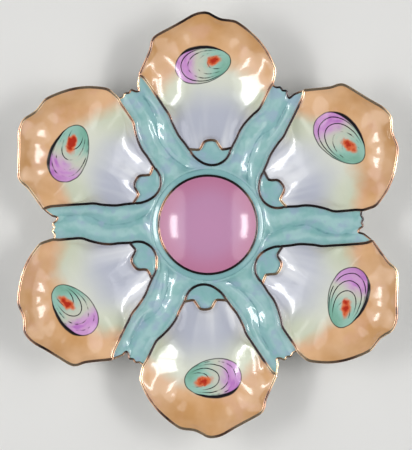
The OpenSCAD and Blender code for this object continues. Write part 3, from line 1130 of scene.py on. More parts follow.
@dataclass(frozen=True)
class GroundPainting:
    """Turquoise ground with painted sheen where the fronds stand proud and painted shade in the crease,
    clouded with lilac.
    """

    glaze: Glaze = Glaze(coat_roughness=0.06, ripple_size=0.0055, ripple_depth=0.0002)
    body: Colour = linear(144, 189, 191)
    # crest: painted sheen on the fronds' backs and by the ground's edges
    crest: Colour = linear(174, 211, 210)
    # valley: painted shade in the crease and hollows
    valley_shade: Colour = linear(98, 146, 154)
    haze: Colour = linear(160, 180, 204)
    teal: Colour = linear(112, 178, 168)
    valley_shade_fade: Pair = (0.04, 0.4)
    crest_sheen_fade: Pair = (0.55, 1.0)
    haze_patches: Pair = (0.5, 0.66)
    teal_patches: Pair = (0.34, 0.47)

    def build(self) -> Material:
        """Paints the ground's upper side.

        Returns:
            The material.
        """
        shader = Shader("turquoise_ground")
        relief = shader.node("ShaderNodeAttribute", attribute_name="relief").outputs["Fac"]
        height = Wire(shader, relief)
        cloud = shader.noise(0.012, detail=3.0, seed=1.7)
        patch = shader.noise(0.0075, detail=2.0, seed=5.3)
        mottle = shader.noise(0.0035, detail=4.0, seed=3.1)
        up = height + (cloud - 0.5) * 0.5 + (mottle - 0.5) * 0.45
        # Painted shade where the moulding is low, painted sheen where it is high
        colour = shader.blend(up.rise(*self.valley_shade_fade), self.valley_shade, self.body)
        colour = shader.blend(up.rise(*self.crest_sheen_fade) * 0.8, colour, self.crest)
        colour = shader.blend(patch.rise(*self.haze_patches) * 0.6, colour, self.haze)
        colour = shader.blend(patch.fall(*self.teal_patches) * 0.3, colour, self.teal)
        return self.glaze.finish(shader, colour)


@dataclass(frozen=True)
class SaucePainting:
    """Mauve pink inside the sauce dish, darker towards its edge as painted shade, and turquoise on its outer
    slope with a painted shadow in the groove at its foot.
    """

    form: PlateForm
    glaze: Glaze = Glaze(ripple_depth=0.00006)
    middle: Colour = linear(200, 147, 183)
    # edge: painted shade towards the dish's edge
    edge: Colour = linear(204, 133, 167)
    slope: Colour = linear(140, 188, 190)
    # groove: painted shadow where the outer slope meets the ground
    groove_shade: Colour = linear(74, 126, 130)
    groove_shade_w: float = 1.3
    groove_shade_patches: Pair = (-0.06, 0.12)
    edge_shade_fade: Pair = (0.45, 1.0)
    colour_seam: float = 0.1

    def build(self) -> Material:
        """Paints the dish's inside and its outer slope.

        Returns:
            The material.
        """
        shader = Shader("pink_sauce_dish")
        _, out = shader.place()
        cloud = shader.noise(0.02, seed=9.0) - 0.5
        crest_r, outer_r = self.form.sauce_r, self.form.sauce_outer_r
        far = out * (outer_r / crest_r) + cloud * 0.08
        # Painted shade: the pink darkens towards the edge
        inside = shader.blend(far.rise(*self.edge_shade_fade), self.middle, self.edge)
        reach = out * outer_r
        # Painted shadow in patches along the foot of the outer slope
        low = reach.rise(outer_r - self.groove_shade_w, outer_r) * cloud.rise(*self.groove_shade_patches) * 0.55
        outside = shader.blend(low, self.slope, self.groove_shade)
        crossed = reach.rise(crest_r - self.colour_seam, crest_r + self.colour_seam)
        return self.glaze.finish(shader, shader.blend(crossed, inside, outside))


@dataclass(frozen=True)
class WhiteGlaze:
    """Clear glaze over white porcelain, on the underside and the foot."""

    glaze: Glaze = Glaze()
    body: Colour = linear(238, 236, 229)
    shade: Colour = linear(222, 222, 220)
    iron: Colour = linear(150, 140, 125)
    iron_specks: Pair = (0.74, 0.8)

    def build(self) -> Material:
        """Glazes the plate's underside.

        Returns:
            The material.
        """
        shader = Shader("white_underside")
        cloud = shader.noise(0.025, detail=3.0, seed=6.0)
        speck = shader.noise(0.0012, detail=1.0, seed=8.0).rise(*self.iron_specks)
        colour = shader.blend(cloud.rise(0.3, 0.7), self.body, self.shade)
        return self.glaze.finish(shader, shader.blend(speck * 0.25, colour, self.iron))


@dataclass(frozen=True)
class Bisque:
    """Bare porcelain that was ground flat after firing."""

    body: Colour = linear(226, 219, 205)
    grime: Colour = linear(170, 158, 138)

    def build(self) -> Material:
        """Makes the finish of the foot's standing edge.

        Returns:
            The material.
        """
        shader = Shader("bare_standing_edge")
        grain = shader.noise(0.0006, detail=4.0, seed=2.0)
        worn = shader.noise(0.009, detail=3.0, seed=5.0)
        colour = shader.blend(worn.rise(0.45, 0.75) * 0.6, self.body, self.grime)
        return shader.surface(Base_Color=colour, Roughness=0.8, Normal=shader.bump(grain, 0.00006))


@dataclass(frozen=True)
class Gilding:
    """Fired gold line, burnished in places and worn to brown in others, with near-black umber painted in as
    dark reflection, more of it on lines nearer the plate's middle.
    """

    name: str = "gilding_worn_and_painted_dark"
    gold: Colour = (0.78, 0.58, 0.37)
    bronze: Colour = (0.5, 0.27, 0.17)
    # umber: near-black base for worn gold, and painted dark reflection where the gold would mirror dark
    # surroundings
    umber_wear_and_dark_reflection: Colour = (0.05, 0.034, 0.034)
    # inner darkening: painted dark reflection, more umber on lines nearer the plate's axis
    inner_painted_dark: float = 0.17
    inner_painted_dark_fade: Pair = (0.07, 0.088)
    bronze_wear: Pair = (0.42, 0.54)
    umber_wear_and_dark_span: Pair = (0.5, 0.62)

    def build(self) -> Material:
        """Makes the gold of some of the lines.

        Returns:
            The material.
        """
        shader = Shader(self.name)
        broad = shader.noise(0.018, detail=2.0, seed=2.5)
        fine = shader.noise(0.0022, detail=4.0, seed=7.5)
        # One value for real wear and painted dark reflection together: high values turn the gold to bronze,
        # then umber
        worn = broad * 0.88 + fine * 0.12
        # Painted dark reflection: lines nearer the plate's axis are pushed towards umber
        flat = shader.node("ShaderNodeVectorMath", {0: shader.spot(), 1: (1.0, 1.0, 0.0)},
                           operation="MULTIPLY")
        out = shader.node("ShaderNodeVectorMath", {0: flat.outputs[0]}, operation="LENGTH")
        worn = worn + Wire(shader, out.outputs["Value"]).fall(*self.inner_painted_dark_fade) * self.inner_painted_dark
        colour = shader.blend(worn.rise(*self.bronze_wear), self.gold, self.bronze)
        colour = shader.blend(worn.rise(*self.umber_wear_and_dark_span), colour, self.umber_wear_and_dark_reflection)
        rough = 0.16 + fine * 0.16
        return shader.surface(Base_Color=colour, Metallic=1.0, Roughness=rough, Coat_Weight=1.0,
                              Coat_Roughness=0.1, Normal=shader.bump(fine, 0.000012))


class GeometryTree(Graph):
    """A geometry node tree with named inputs."""

    def __init__(self, name: str) -> None:
        """Makes a tree that takes a geometry and gives one back.

        Args:
            name: The tree's name.
        """
        super().__init__(bpy.data.node_groups.new(name, "GeometryNodeTree"))
        self.sockets: dict[str, str] = {}
        self.tree.interface.new_socket("Geometry", in_out="OUTPUT", socket_type="NodeSocketGeometry")
        self.tree.interface.new_socket("Geometry", in_out="INPUT", socket_type="NodeSocketGeometry")
        self.entry = self.node("NodeGroupInput")

    def takes(self, kind: str, *names: str) -> list[Socket]:
        """Adds named inputs of one kind.

        Args:
            kind: The last part of their socket type.
            names: Their names.

        Returns:
            The sockets that carry them inside the tree.
        """
        for name in names:
            made = self.tree.interface.new_socket(name, in_out="INPUT", socket_type=f"NodeSocket{kind}")
            self.sockets[name] = made.identifier
        return [self.entry.outputs[name] for name in names]

    def gives(self, geometry: Socket, material: Socket) -> None:
        """Ends the tree: what it made is shaded smooth, becomes real and is dressed.

        Args:
            geometry: What the tree made.
            material: The material that it takes.
        """
        soft = self.node("GeometryNodeSetShadeSmooth", {"Geometry": geometry})
        real = self.node("GeometryNodeRealizeInstances", {"Geometry": soft.outputs[0]})
        dressed = self.node("GeometryNodeSetMaterial", {"Geometry": real.outputs[0], "Material": material})
        self.node("NodeGroupOutput", {0: dressed.outputs[0]})

    def run(self, name: str, start: Mesh, values: dict[str, object]) -> Object:
        """Runs the tree on a mesh and keeps the result as a plain mesh.

        Args:
            name: Name of the new piece.
            start: The mesh that the tree starts from.
            values: Value of each named input.

        Returns:
            The new object, with no modifier left on it.
        """
        carrier = put("carrier", start)
        modifier = carrier.modifiers.new("tree", "NODES")
        modifier.node_group = self.tree
        for key, value in values.items():
            modifier[self.sockets[key]] = value
        bpy.context.view_layer.update()
        ready = carrier.evaluated_get(bpy.context.evaluated_depsgraph_get())
        mesh = bpy.data.meshes.new_from_object(ready)
        carrier.modifiers.clear()
        bpy.data.objects.remove(carrier)
        mesh.name = name
        face_outward(mesh)
        return put(name, mesh)


def line_mesh(points: Array, closed: bool) -> Mesh:
    """Makes a mesh of one line of edges.

    Args:
        points: The line's points in millimetres.
        closed: Whether the last point joins the first.

    Returns:
        The mesh.
    """
    count = len(points)
    edges = [(i, (i + 1) % count) for i in range(count if closed else count - 1)]
    mesh = bpy.data.meshes.new("line")
    mesh.from_pydata((points * MM).tolist(), edges, [])
    return mesh


class GiltLineTree(GeometryTree):
    """Sweeps a low bead of gold along a line, a little uneven as a brush leaves it."""

    def __init__(self) -> None:
        """Writes the tree."""
        super().__init__("gilt_line")
        numbers = self.takes("Float", "Width", "Height", "Waver", "Patch size", "Seed", "Slant")
        width, height, waver, patch, seed, slant = (Wire(self, socket) for socket in numbers)
        [sides], [material] = self.takes("Int", "Sides"), self.takes("Material", "Material")
        noise = self.node("ShaderNodeTexNoise", {"Scale": 1.0 / patch, "W": seed, "Detail": 1.0},
                          noise_dimensions="4D")
        uneven = (Wire(self, noise.outputs[0]) - 0.5) * waver + 1.0
        path = self.node("GeometryNodeMeshToCurve", {"Mesh": self.entry.outputs["Geometry"]})
        upright = self.node("GeometryNodeSetCurveNormal", {"Curve": path.outputs[0]}, mode="Z_UP")
        brushed = self.node("GeometryNodeSetCurveRadius", {"Curve": upright.outputs[0], "Radius": uneven})
        ring = self.node("GeometryNodeCurvePrimitiveCircle", {"Resolution": sides, "Radius": 1.0})
        roof = self.node("GeometryNodeSetPosition", {
            "Geometry": ring.outputs[0], "Position": self.roof(slant)})
        flat = self.node("ShaderNodeCombineXYZ", {0: width * 0.5, 1: height * 0.5, 2: 1.0})
        section = self.node("GeometryNodeTransform", {"Geometry": roof.outputs[0], "Scale": flat.outputs[0]})
        bar = self.node("GeometryNodeCurveToMesh", {
            "Curve": brushed.outputs[0], "Profile Curve": section.outputs[0], "Fill Caps": True})
        self.gives(bar.outputs[0], material)

    def roof(self, slant: Wire) -> Socket:
        """Returns the points of a circle drawn in towards a square on its corner.

        Args:
            slant: 1 keeps the circle and 2 makes straight slopes.

        Returns:
            The new place of each point.
        """
        place = self.node("ShaderNodeSeparateXYZ", {0: self.node("GeometryNodeInputPosition").outputs[0]})
        across, up = Wire(self, place.outputs[0]), Wire(self, place.outputs[1])
        drawn = {k: part.sign() * abs(part) ** slant for k, part in enumerate((across, up))}
        return self.node("ShaderNodeCombineXYZ", drawn).outputs[0]


class LatheTree(GeometryTree):
    """Turns a half section round the plate's axis into a closed piece."""

    def __init__(self) -> None:
        """Writes the tree."""
        super().__init__("lathe")
        hub, weld = self.takes("Float", "Hub", "Weld")
        [steps], [material] = self.takes("Int", "Steps"), self.takes("Material", "Material")
        section = self.node("GeometryNodeMeshToCurve", {"Mesh": self.entry.outputs["Geometry"]})
        ring = self.node("GeometryNodeCurvePrimitiveCircle", {"Resolution": steps, "Radius": hub})
        swept = self.node("GeometryNodeCurveToMesh", {
            "Curve": ring.outputs[0], "Profile Curve": section.outputs[0], "Fill Caps": False})
        closed = self.node("GeometryNodeMergeByDistance", {"Geometry": swept.outputs[0], "Distance": weld})
        self.gives(closed.outputs[0], material)


@dataclass(frozen=True)
class Bead:
    """How one kind of gilt line is drawn, in millimetres and shares."""

    width_share: float = 1.0
    height: float = 0.54
    waver: float = 0.6
    patch: float = 9.0
    sides: int = 20
    slant: float = 1.5


@dataclass
class Workshop:
    """What every sub-assembly needs: the sizes, the outline, the finishes and the trees."""

    form: PlateForm
    outline: ShellOutline
    white: Material
    ground: Material
    gilding: Material
    notch_gilding: Material
    gilt_line: GiltLineTree
    lathe: LatheTree

    @classmethod
    def open(cls) -> "Workshop":
        """Reads the frame and makes the shared finishes and trees.

        Returns:
            The workshop.
        """
        form = PlateForm.from_frame()
        return cls(form, ShellOutline(form), WhiteGlaze().build(), GroundPainting().build(),
                   Gilding().build(), Gilding("notch_gilding", inner_painted_dark=0.03).build(),
                   GiltLineTree(), LatheTree())

    def gild(self, name: str, node: str, path: Array, closed: bool, seed: float, bead: Bead,
             finish: Material | None = None) -> Object:
        """Sweeps one gilt line.

        Args:
            name: Name of the piece.
            node: The node that it stands for.
            path: Its middle line in millimetres.
            closed: Whether it runs back to its start.
            seed: Number that makes its waver unlike another's.
            bead: How it is drawn.
            finish: Its gilding, if not the usual one.

        Returns:
            The finished piece.
        """
        piece = self.gilt_line.run(name, line_mesh(path, closed), {
            "Width": self.form.gilt_w * bead.width_share * MM, "Height": bead.height * MM,
            "Waver": bead.waver, "Patch size": bead.patch * MM, "Seed": seed, "Slant": bead.slant,
            "Sides": bead.sides, "Material": finish or self.gilding})
        return stands_for(piece, node, Slot.GILDING)

    def slab(self, name: str, node: str, turn: float, sides: tuple[Array, Array],
             maps: Array, relief: Array) -> Object:
        """Closes an upper and a lower grid into a slab, turquoise above and white below.

        Args:
            name: Name of the piece.
            node: The node that it stands for.
            turn: Angle about the plate's axis at which it is placed.
            sides: Points of the upper side and of the lower side, rows by columns.
            maps: Places of both sides on the piece's own map.
            relief: How high the moulding stands at each point, from 0 to 1.

        Returns:
            The finished piece.
        """
        draft = MeshDraft(name, turn)
        upper = draft.grid(sides[0], maps, COLOURED, flip=True)
        lower = draft.grid(sides[1], maps, WHITE)
        for edge in (np.s_[0, ::-1], np.s_[-1, :], np.s_[:, 0], np.s_[::-1, -1]):
            draft.quads(np.stack([upper[edge], lower[edge]]), WHITE, flip=True)
        piece = draft.mesh_object([self.ground, self.white])
        layer = piece.data.attributes.new("relief", "FLOAT", "POINT")
        layer.data.foreach_set("value", np.tile(relief.ravel(), 2).astype(np.float32))
        return stands_for(piece, node, Slot.GROUND)


def stands_for(piece: Object, node: str, slot: Slot) -> Object:
    """Reports a piece that takes a node's place.

    Args:
        piece: The finished piece.
        node: The node that it stands for.
        slot: The record's slot of its finish; not used.

    Returns:
        The piece.
    """
    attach(piece, "root")
    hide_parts(node)
    LOG.info("%s: %d faces, for %s", piece.name, len(piece.data.polygons), node)
    return piece


@dataclass
class Bowl:
    """One shell-shaped well, from the middle of its bowl over its rim to its flat bottom."""

    shop: Workshop
    number: int
    slope_rings: int = 56
    slope_power: float = 0.85
    calm_spread: float = 16.0
    calm_reach: int = 48
    calm_share: float = 0.88
    basin_side_share: float = 0.74
    basin_end_share: float = 0.6
    basin_end_lean: Pair = (0.3, 0.6)
    basin_across_share: float = 0.486
    basin_up_share: float = 0.45
    basin_down_share: float = 0.31
    flute_h: float = 0.24
    flutes_round: float = 17.1
    flute_turn: float = 1.702
    flute_lean: Pair = (0.52, 0.77)
    flute_start_shares: Pair = (0.56, 0.72)
    flute_end_shares: Pair = (0.82, 1.0)
    under_rings: int = 16
    crest: Sequence[Pair] = (
        (1.0, -0.3), (0.86, -0.1), (0.7, 0.05), (0.5, 0.12), (0.3, 0.07), (0.14, -0.08), (0.04, -0.25),
        (0.0, -0.45),
    )
    wall_shares: Sequence[float] = (0.2, 0.4, 0.6, 0.78, 0.9, 0.97)

    def build(self) -> Object:
        """Builds and dresses the well.

        Returns:
            The piece.
        """
        form, line = self.shop.form, self.shop.outline.bowl
        side = inward(line, self.shop.outline.corner_spread)
        rim = form.rim_h(line)
        rings = [*self.slopes(line, side, rim), *self.rim_rings(line, side, rim), *self.wall_rings(line, rim)]
        upper = len(rings) - len(self.wall_shares)
        points = np.stack([*rings, *self.under_side(line)])
        draft = MeshDraft(f"shell_bowl_{self.number}", well_turn(self.number))
        paint = np.where(np.arange(len(points) - 1) < upper, COLOURED, WHITE)
        index = draft.grid(points, form.places(points), paint, round_way=True)
        high, low = raised(form.bowl_centre, form.foot_h + form.wall), raised(form.bowl_centre, form.foot_h)
        draft.fan(index[0], high, form.places(high), COLOURED)
        draft.fan(index[-1], low, form.places(low), WHITE, flip=True)
        painting = ShellPainting(form, self.number).build()
        return stands_for(draft.mesh_object([painting, self.shop.white]), f"well_{self.number}", Slot.SHELL)

    def slopes(self, line: Array, side: Array, rim: Array) -> Iterable[Array]:
        """Makes the rings of the bowl's inside.

        Args:
            line: The bowl's outline.
            side: Inward direction at each point of the outline.
            rim: Height of the rim at each point.

        Yields:
            One ring of points after another, from the middle out.
        """
        form = self.shop.form
        centre = form.bowl_centre
        edge = line + side * form.gilt_w
        calm = softened(edge, self.calm_spread, self.calm_reach) - centre
        way = edge - centre
        shrunk = np.linalg.norm(way, axis=1) / np.linalg.norm(calm, axis=1)
        calm = centre + calm * softened(shrunk, self.calm_spread, self.calm_reach)[:, None]
        turn = np.arctan2(way[:, 1], way[:, 0])
        half_across = self.basin_across_share * form.well_w
        half_up = np.where(way[:, 1] > 0, self.basin_up_share, self.basin_down_share) * form.well_l
        reach = 1 / np.hypot(np.cos(turn) / half_across, np.sin(turn) / half_up)
        near = centre + reach[:, None] * around(turn)
        top = rim + self.crest[0][1]
        ends = eased(abs(np.sin(turn)), self.basin_end_lean)
        start = mix(self.basin_side_share, self.basin_end_share, ends)[:, None]
        for k in range(1, self.slope_rings):
            share = (k / self.slope_rings) ** self.slope_power
            far = mix(calm, edge, eased(share, (self.calm_share, 1.0)))
            at = mix(near, far, eased(share, (start, 1.0)))
            yield raised(mix(centre, at, share), form.bowl_h(line, share, top) + self.flutes(turn, share))

    def flutes(self, turn: Array, share: float) -> Array:
        """Returns the lift of the soft flutes that run down from the head's scallops.

        Args:
            turn: Direction of each point from the middle of the bowl.
            share: How far out the ring lies.

        Returns:
            The lift of each point of the ring.
        """
        near_head = eased(np.sin(turn), self.flute_lean)
        along = eased(share, self.flute_start_shares) * (1 - eased(share, self.flute_end_shares))
        return self.flute_h * near_head * along * np.cos(self.flutes_round * (turn - self.flute_turn))

    def rim_rings(self, line: Array, side: Array, rim: Array) -> Iterable[Array]:
        """Makes the rings over the rounded rim, from the inside out."""
        for inset, lift in self.crest:
            yield raised(line + side * inset * self.shop.form.gilt_w, rim + lift)

    def wall_rings(self, line: Array, rim: Array) -> Iterable[Array]:
        """Makes the rings of the outer wall, which draws in where the rim is free.

        Args:
            line: The bowl's outline.
            rim: Height of the rim at each point.

        Yields:
            The rings, from the rim down.
        """
        form = self.shop.form
        pull, low = self.drawn_in(line), form.under_edge_h(line)
        for share in self.wall_shares:
            bow = 1 - math.sqrt(1 - share**2)
            yield raised(line + pull * bow, mix(rim + self.crest[-1][1], low, share))

    def drawn_in(self, line: Array) -> Array:
        """Returns how far the outer wall's lower edge lies inside the rim, as x and y."""
        form = self.shop.form
        return unit(form.bowl_centre - line) * form.rim_taper * form.head_part(line)[:, None]

    def under_side(self, line: Array) -> Iterable[Array]:
        """Makes the rings of the underside.

        Args:
            line: The bowl's outline.

        Yields:
            The rings, from the rim to the flat bottom.
        """
        form = self.shop.form
        low = line + self.drawn_in(line)
        for k in range(self.under_rings + 1):
            share = mix(1.0, form.flat_share, k / self.under_rings)
            yield raised(mix(form.bowl_centre, low, share), form.under_h(line, share))


@dataclass
class Heel:
    """The teal heel of one shell: a rounded rim, and a shallow hollow up to the notch."""

    shop: Workshop
    number: int
    hollow_rows: int = 18
    hollow_power: float = 0.7
    fall_shares: Pair = (0.0, 1 / 3)
    level_shares: Pair = (0.5, 1.0)
    # Relief for the ground's paint: its level, and a dip that paints shade partway between rim and notch
    relief_level: float = 0.85
    relief_shade_dip: float = 0.25

    def build(self) -> Object:
        """Builds and dresses the heel.

        Returns:
            The piece.
        """
        form, outline = self.shop.form, self.shop.outline
        arc, notch = outline.heel_arc, outline.notch_line
        way = notch - arc
        share = form.gilt_w / np.maximum(np.linalg.norm(way, axis=1), 2 * form.gilt_w)
        inner = arc + way * share[:, None]
        rows = [raised(mix(arc, inner, i), form.rim_h(arc) + lift) for i, lift in reversed(Bowl.crest)]
        deep = form.heel_dip * np.sin(np.linspace(0, math.pi, len(arc))) ** self.hollow_power
        for t in np.arange(1, self.hollow_rows + 1) / self.hollow_rows:
            at = mix(inner, notch, t)
            near = mix(-Bowl.crest[0][1], deep, eased(t, self.fall_shares))
            sunk = mix(near, np.minimum(deep, form.lip_h), eased(t, self.level_shares))
            rows.append(raised(at, form.rim_h(at) - sunk))
        top = np.stack(rows)
        low = top.copy()
        low[..., 2] = form.rim_h(top) - form.lip_h - form.ground_t
        # Painted shade: the relief dips across the middle rows, so the paint is darker there
        dip = self.relief_shade_dip * np.sin(np.linspace(0, math.pi, len(rows)))
        relief = np.broadcast_to((self.relief_level - dip)[:, None], top.shape[:2])
        return self.shop.slab(f"shell_heel_{self.number}", f"heel_{self.number}", well_turn(self.number),
                              (top, low), form.places(top), relief)


@dataclass
class Ground:
    """The frond-moulded ground between one well and the next."""

    shop: Workshop
    number: int
    strip_rows: int = 3
    cell_steps: int = 8
    crease_share: float = 0.56
    crease_sway: float = 0.1
    crease_turns: float = 1.1
    hollow_power: float = 0.8
    hollow_end: float = 0.2
    vein_h: float = 0.07
    vein_count: float = 4.0
    vein_sway: float = 0.9
    vein_curl: float = 0.5
    vein_fade: float = 0.35
    pimple_h: float = 0.45
    pimple_stray: float = 0.04
    edge_relief: float = 0.8
    crease_relief: float = 0.2
    frond_relief: float = 0.7
    seam: float = 0.01
    gilt_inset_share: float = 0.45
    gilt_seed: float = 30.0
    bead: Bead = Bead(width_share=0.8, waver=0.5, patch=4.0, sides=16)
    teeth: Sequence[Pair] = (
        (0.116, -0.048), (0.248, -0.025), (0.354, -0.106), (0.478, -0.108), (0.533, -0.24),
        (0.629, -0.31), (0.739, -0.177), (0.877, -0.081),
    )
    pimples: Sequence[tuple[float, float, float]] = (
        (0.22, 0.3, 2.2), (0.5, 0.72, 3.0), (0.78, 0.6, 2.2), (0.66, 0.28, 2.6), (0.4, 0.2, 2.0),
    )

    def sides(self) -> tuple[Array, Array, Array, Array]:
        """Draws the four sides of the patch.

        Returns:
            The right flank, the left flank, the inner arc and the teeth.
        """
        form, outline = self.shop.form, self.shop.outline
        right, left = outline.shell[outline.flank(1)], outline.shell[outline.flank(-1)]
        right_edge = raised(right, form.rim_h(right) - form.lip_h)
        left_edge = turned(raised(left, form.rim_h(left) - form.lip_h), -SECTOR)
        start = math.atan2(right[0, 1], right[0, 0])
        cols = self.cell_steps * (len(self.teeth) + 1)
        turn = start - SECTOR * np.arange(cols + 1) / cols
        inner = raised((form.sauce_outer_r + self.seam) * around(turn), form.skirt_h)
        strip = np.arange(self.strip_rows)[:, None] / self.strip_rows
        right_side = np.concatenate([mix(inner[0], right_edge[0], strip), right_edge])
        left_side = np.concatenate([mix(inner[-1], left_edge[0], strip), left_edge])
        return right_side, left_side, inner, self.tooth_line(right_side[-1], left_side[-1])

    def tooth_line(self, first: Array, last: Array) -> Array:
        """Draws the toothed outer edge.

        Args:
            first: Its right end.
            last: Its left end.

        Returns:
            The points of the edge.
        """
        way = last - first
        out = np.array([-way[1], way[0], 0.0])
        corners = [first]
        for along, off in self.teeth:
            sag = np.array([0.0, 0.0, self.shop.form.tooth_sag * math.sin(math.pi * along)])
            corners.append(first + along * way + off * out - sag)
        return through(np.array([*corners, last]), self.cell_steps, closed=False)

    def patch(self) -> tuple[Array, Array, Array]:
        """Stretches the patch between its sides.

        Returns:
            The points, and the shares v up the ground and u across it.
        """
        right, left, inner, teeth = self.sides()
        rows = len(right) - 1 - self.strip_rows
        strip = np.arange(self.strip_rows) / self.strip_rows
        cells = 1 + len(self.shop.outline.flank(1)) // self.shop.outline.steps * 2
        v = np.concatenate([strip, mix(1.0, cells, np.arange(rows + 1) / rows)])[:, None] / cells
        u = (np.arange(len(inner)) / (len(inner) - 1))[None, :]
        u3, v3 = u[..., None], v[..., None]
        ends = mix(mix(inner[0], inner[-1], u3), mix(teeth[0], teeth[-1], u3), v3)
        points = mix(inner[None], teeth[None], v3) + mix(right[:, None], left[:, None], u3) - ends
        return points, v * np.ones_like(u), u * np.ones_like(v)

    def hollow(self, v: Array, u: Array) -> Array:
        """Returns how far the ground sinks, from 0 at its sides to 1."""
        ends = smooth(v / self.hollow_end) * smooth((1 - v) / self.hollow_end)
        return np.maximum(np.sin(np.pi * u), 0) ** self.hollow_power * ends

    def fronds(self, v: Array, u: Array) -> Array:
        """Shapes the two fronds.

        Args:
            v: Share up the ground.
            u: Share across it.

        Returns:
            Their swell, 0 in their crease and 1 on their backs.
        """
        crease = self.crease_share + self.crease_sway * np.cos(2 * np.pi * self.crease_turns * v)
        side = np.where(u < crease, u / crease, (1 - u) / (1 - crease))
        return np.sin(np.pi * np.clip(side, 0, 1))

    def moulding(self, points: Array, v: Array, u: Array) -> Array:
        """Makes the fine moulding on the fronds: veins that follow them, and pimples.

        Args:
            points: The points of the patch.
            v: Share up the ground.
            u: Share across it.

        Returns:
            Its height at each point.
        """
        phase = self.vein_sway * np.sin(2 * np.pi * (1.3 * v + 0.15 * self.number))
        phase += self.vein_curl * np.sin(9 * v + 4 * u)
        veins = np.sin(2 * np.pi * self.vein_count * u + 2 * phase) * self.vein_h
        veins *= 1 - self.vein_fade + self.vein_fade * np.sin(11 * v + self.number)
        spots = np.zeros_like(veins)
        for at_v, at_u, radius in self.pimples:
            shift = self.pimple_stray * math.sin(3.7 * self.number + 9 * at_v)
            row = int(np.argmin(np.abs(v[:, 0] - (at_v + shift))))
            col = int(np.argmin(np.abs(u[0] - (at_u - shift))))
            gap = np.linalg.norm((points - points[row, col])[..., :2], axis=-1)
            spots += self.pimple_h * np.exp(-((gap / radius) ** 2))
        return veins + spots

    def build(self) -> Object:
        """Builds and dresses the ground.

        Returns:
            The piece.
        """
        form = self.shop.form
        points, v, u = self.patch()
        sink, swell = self.hollow(v, u), self.fronds(v, u)
        top, low = points.copy(), points.copy()
        fine = self.moulding(points, v, u)
        top[..., 2] += sink * (form.frond_h * swell + fine - form.ground_dip)
        low[..., 2] -= form.ground_t + sink * form.ground_dip
        # The relief that the paint turns into painted shade in the crease and painted sheen on the fronds and
        # near the edges
        height = self.crease_relief + self.frond_relief * swell + fine
        relief = np.clip(mix(self.edge_relief, height, smooth(sink * 1.6)), 0, 1)
        maps = np.stack([u, v], axis=-1)
        return self.shop.slab(f"frond_ground_{self.number}", f"ground_{self.number}", well_turn(self.number),
                              (top[:, ::-1], low[:, ::-1]), maps[:, ::-1], relief[:, ::-1])

    def gilt_teeth(self) -> Object:
        """Builds the gilt line on the teeth.

        Returns:
            The piece.
        """
        inset = np.array([0.0, self.gilt_inset_share * self.shop.form.gilt_w, 0.0])
        path = self.sides()[3] - turned(inset, -SECTOR / 2)
        return self.shop.gild(
            f"gilt_tooth_line_{self.number}", f"gilt_teeth_{self.number}",
            turned(path, well_turn(self.number)), False, self.gilt_seed + self.number, self.bead)


@dataclass
class GiltLines:
    """The gilt lines of one shell: round its rim and over its notch."""

    shop: Workshop
    number: int
    lift: float = -0.02
    rim_inset_share: float = 0.57
    notch_inset_share: float = 0.5

    def build(self) -> list[Object]:
        """Builds both lines.

        Returns:
            The two pieces.
        """
        shop, number, outline = self.shop, self.number, self.shop.outline
        rim_side = inward(outline.shell, outline.corner_spread)
        notch_side = inward(outline.bowl, outline.corner_spread)[-outline.heel_steps:]
        notch_side = np.concatenate([notch_side, notch_side[-1:]])
        rim = self.path(outline.shell, rim_side, self.rim_inset_share)
        notch = self.path(outline.notch_line, notch_side, self.notch_inset_share)
        return [
            shop.gild(f"gilt_rim_line_{number}", f"gilt_rim_{number}", rim, True, number + 1.0, Bead()),
            shop.gild(f"gilt_notch_line_{number}", f"gilt_notch_{number}", notch, False, number + 1.0,
                      Bead(), shop.notch_gilding),
        ]

    def path(self, line: Array, side: Array, share: float) -> Array:
        """Places a line's path inside the outline, at the height of the rim.

        Args:
            line: The outline's points.
            side: Inward direction at each point.
            share: How far inside it runs, as a share of its width.

        Returns:
            The path's points at this well.
        """
        form = self.shop.form
        inside = line + side * form.gilt_w * share
        return turned(raised(inside, form.rim_h(line) + self.lift), well_turn(self.number))


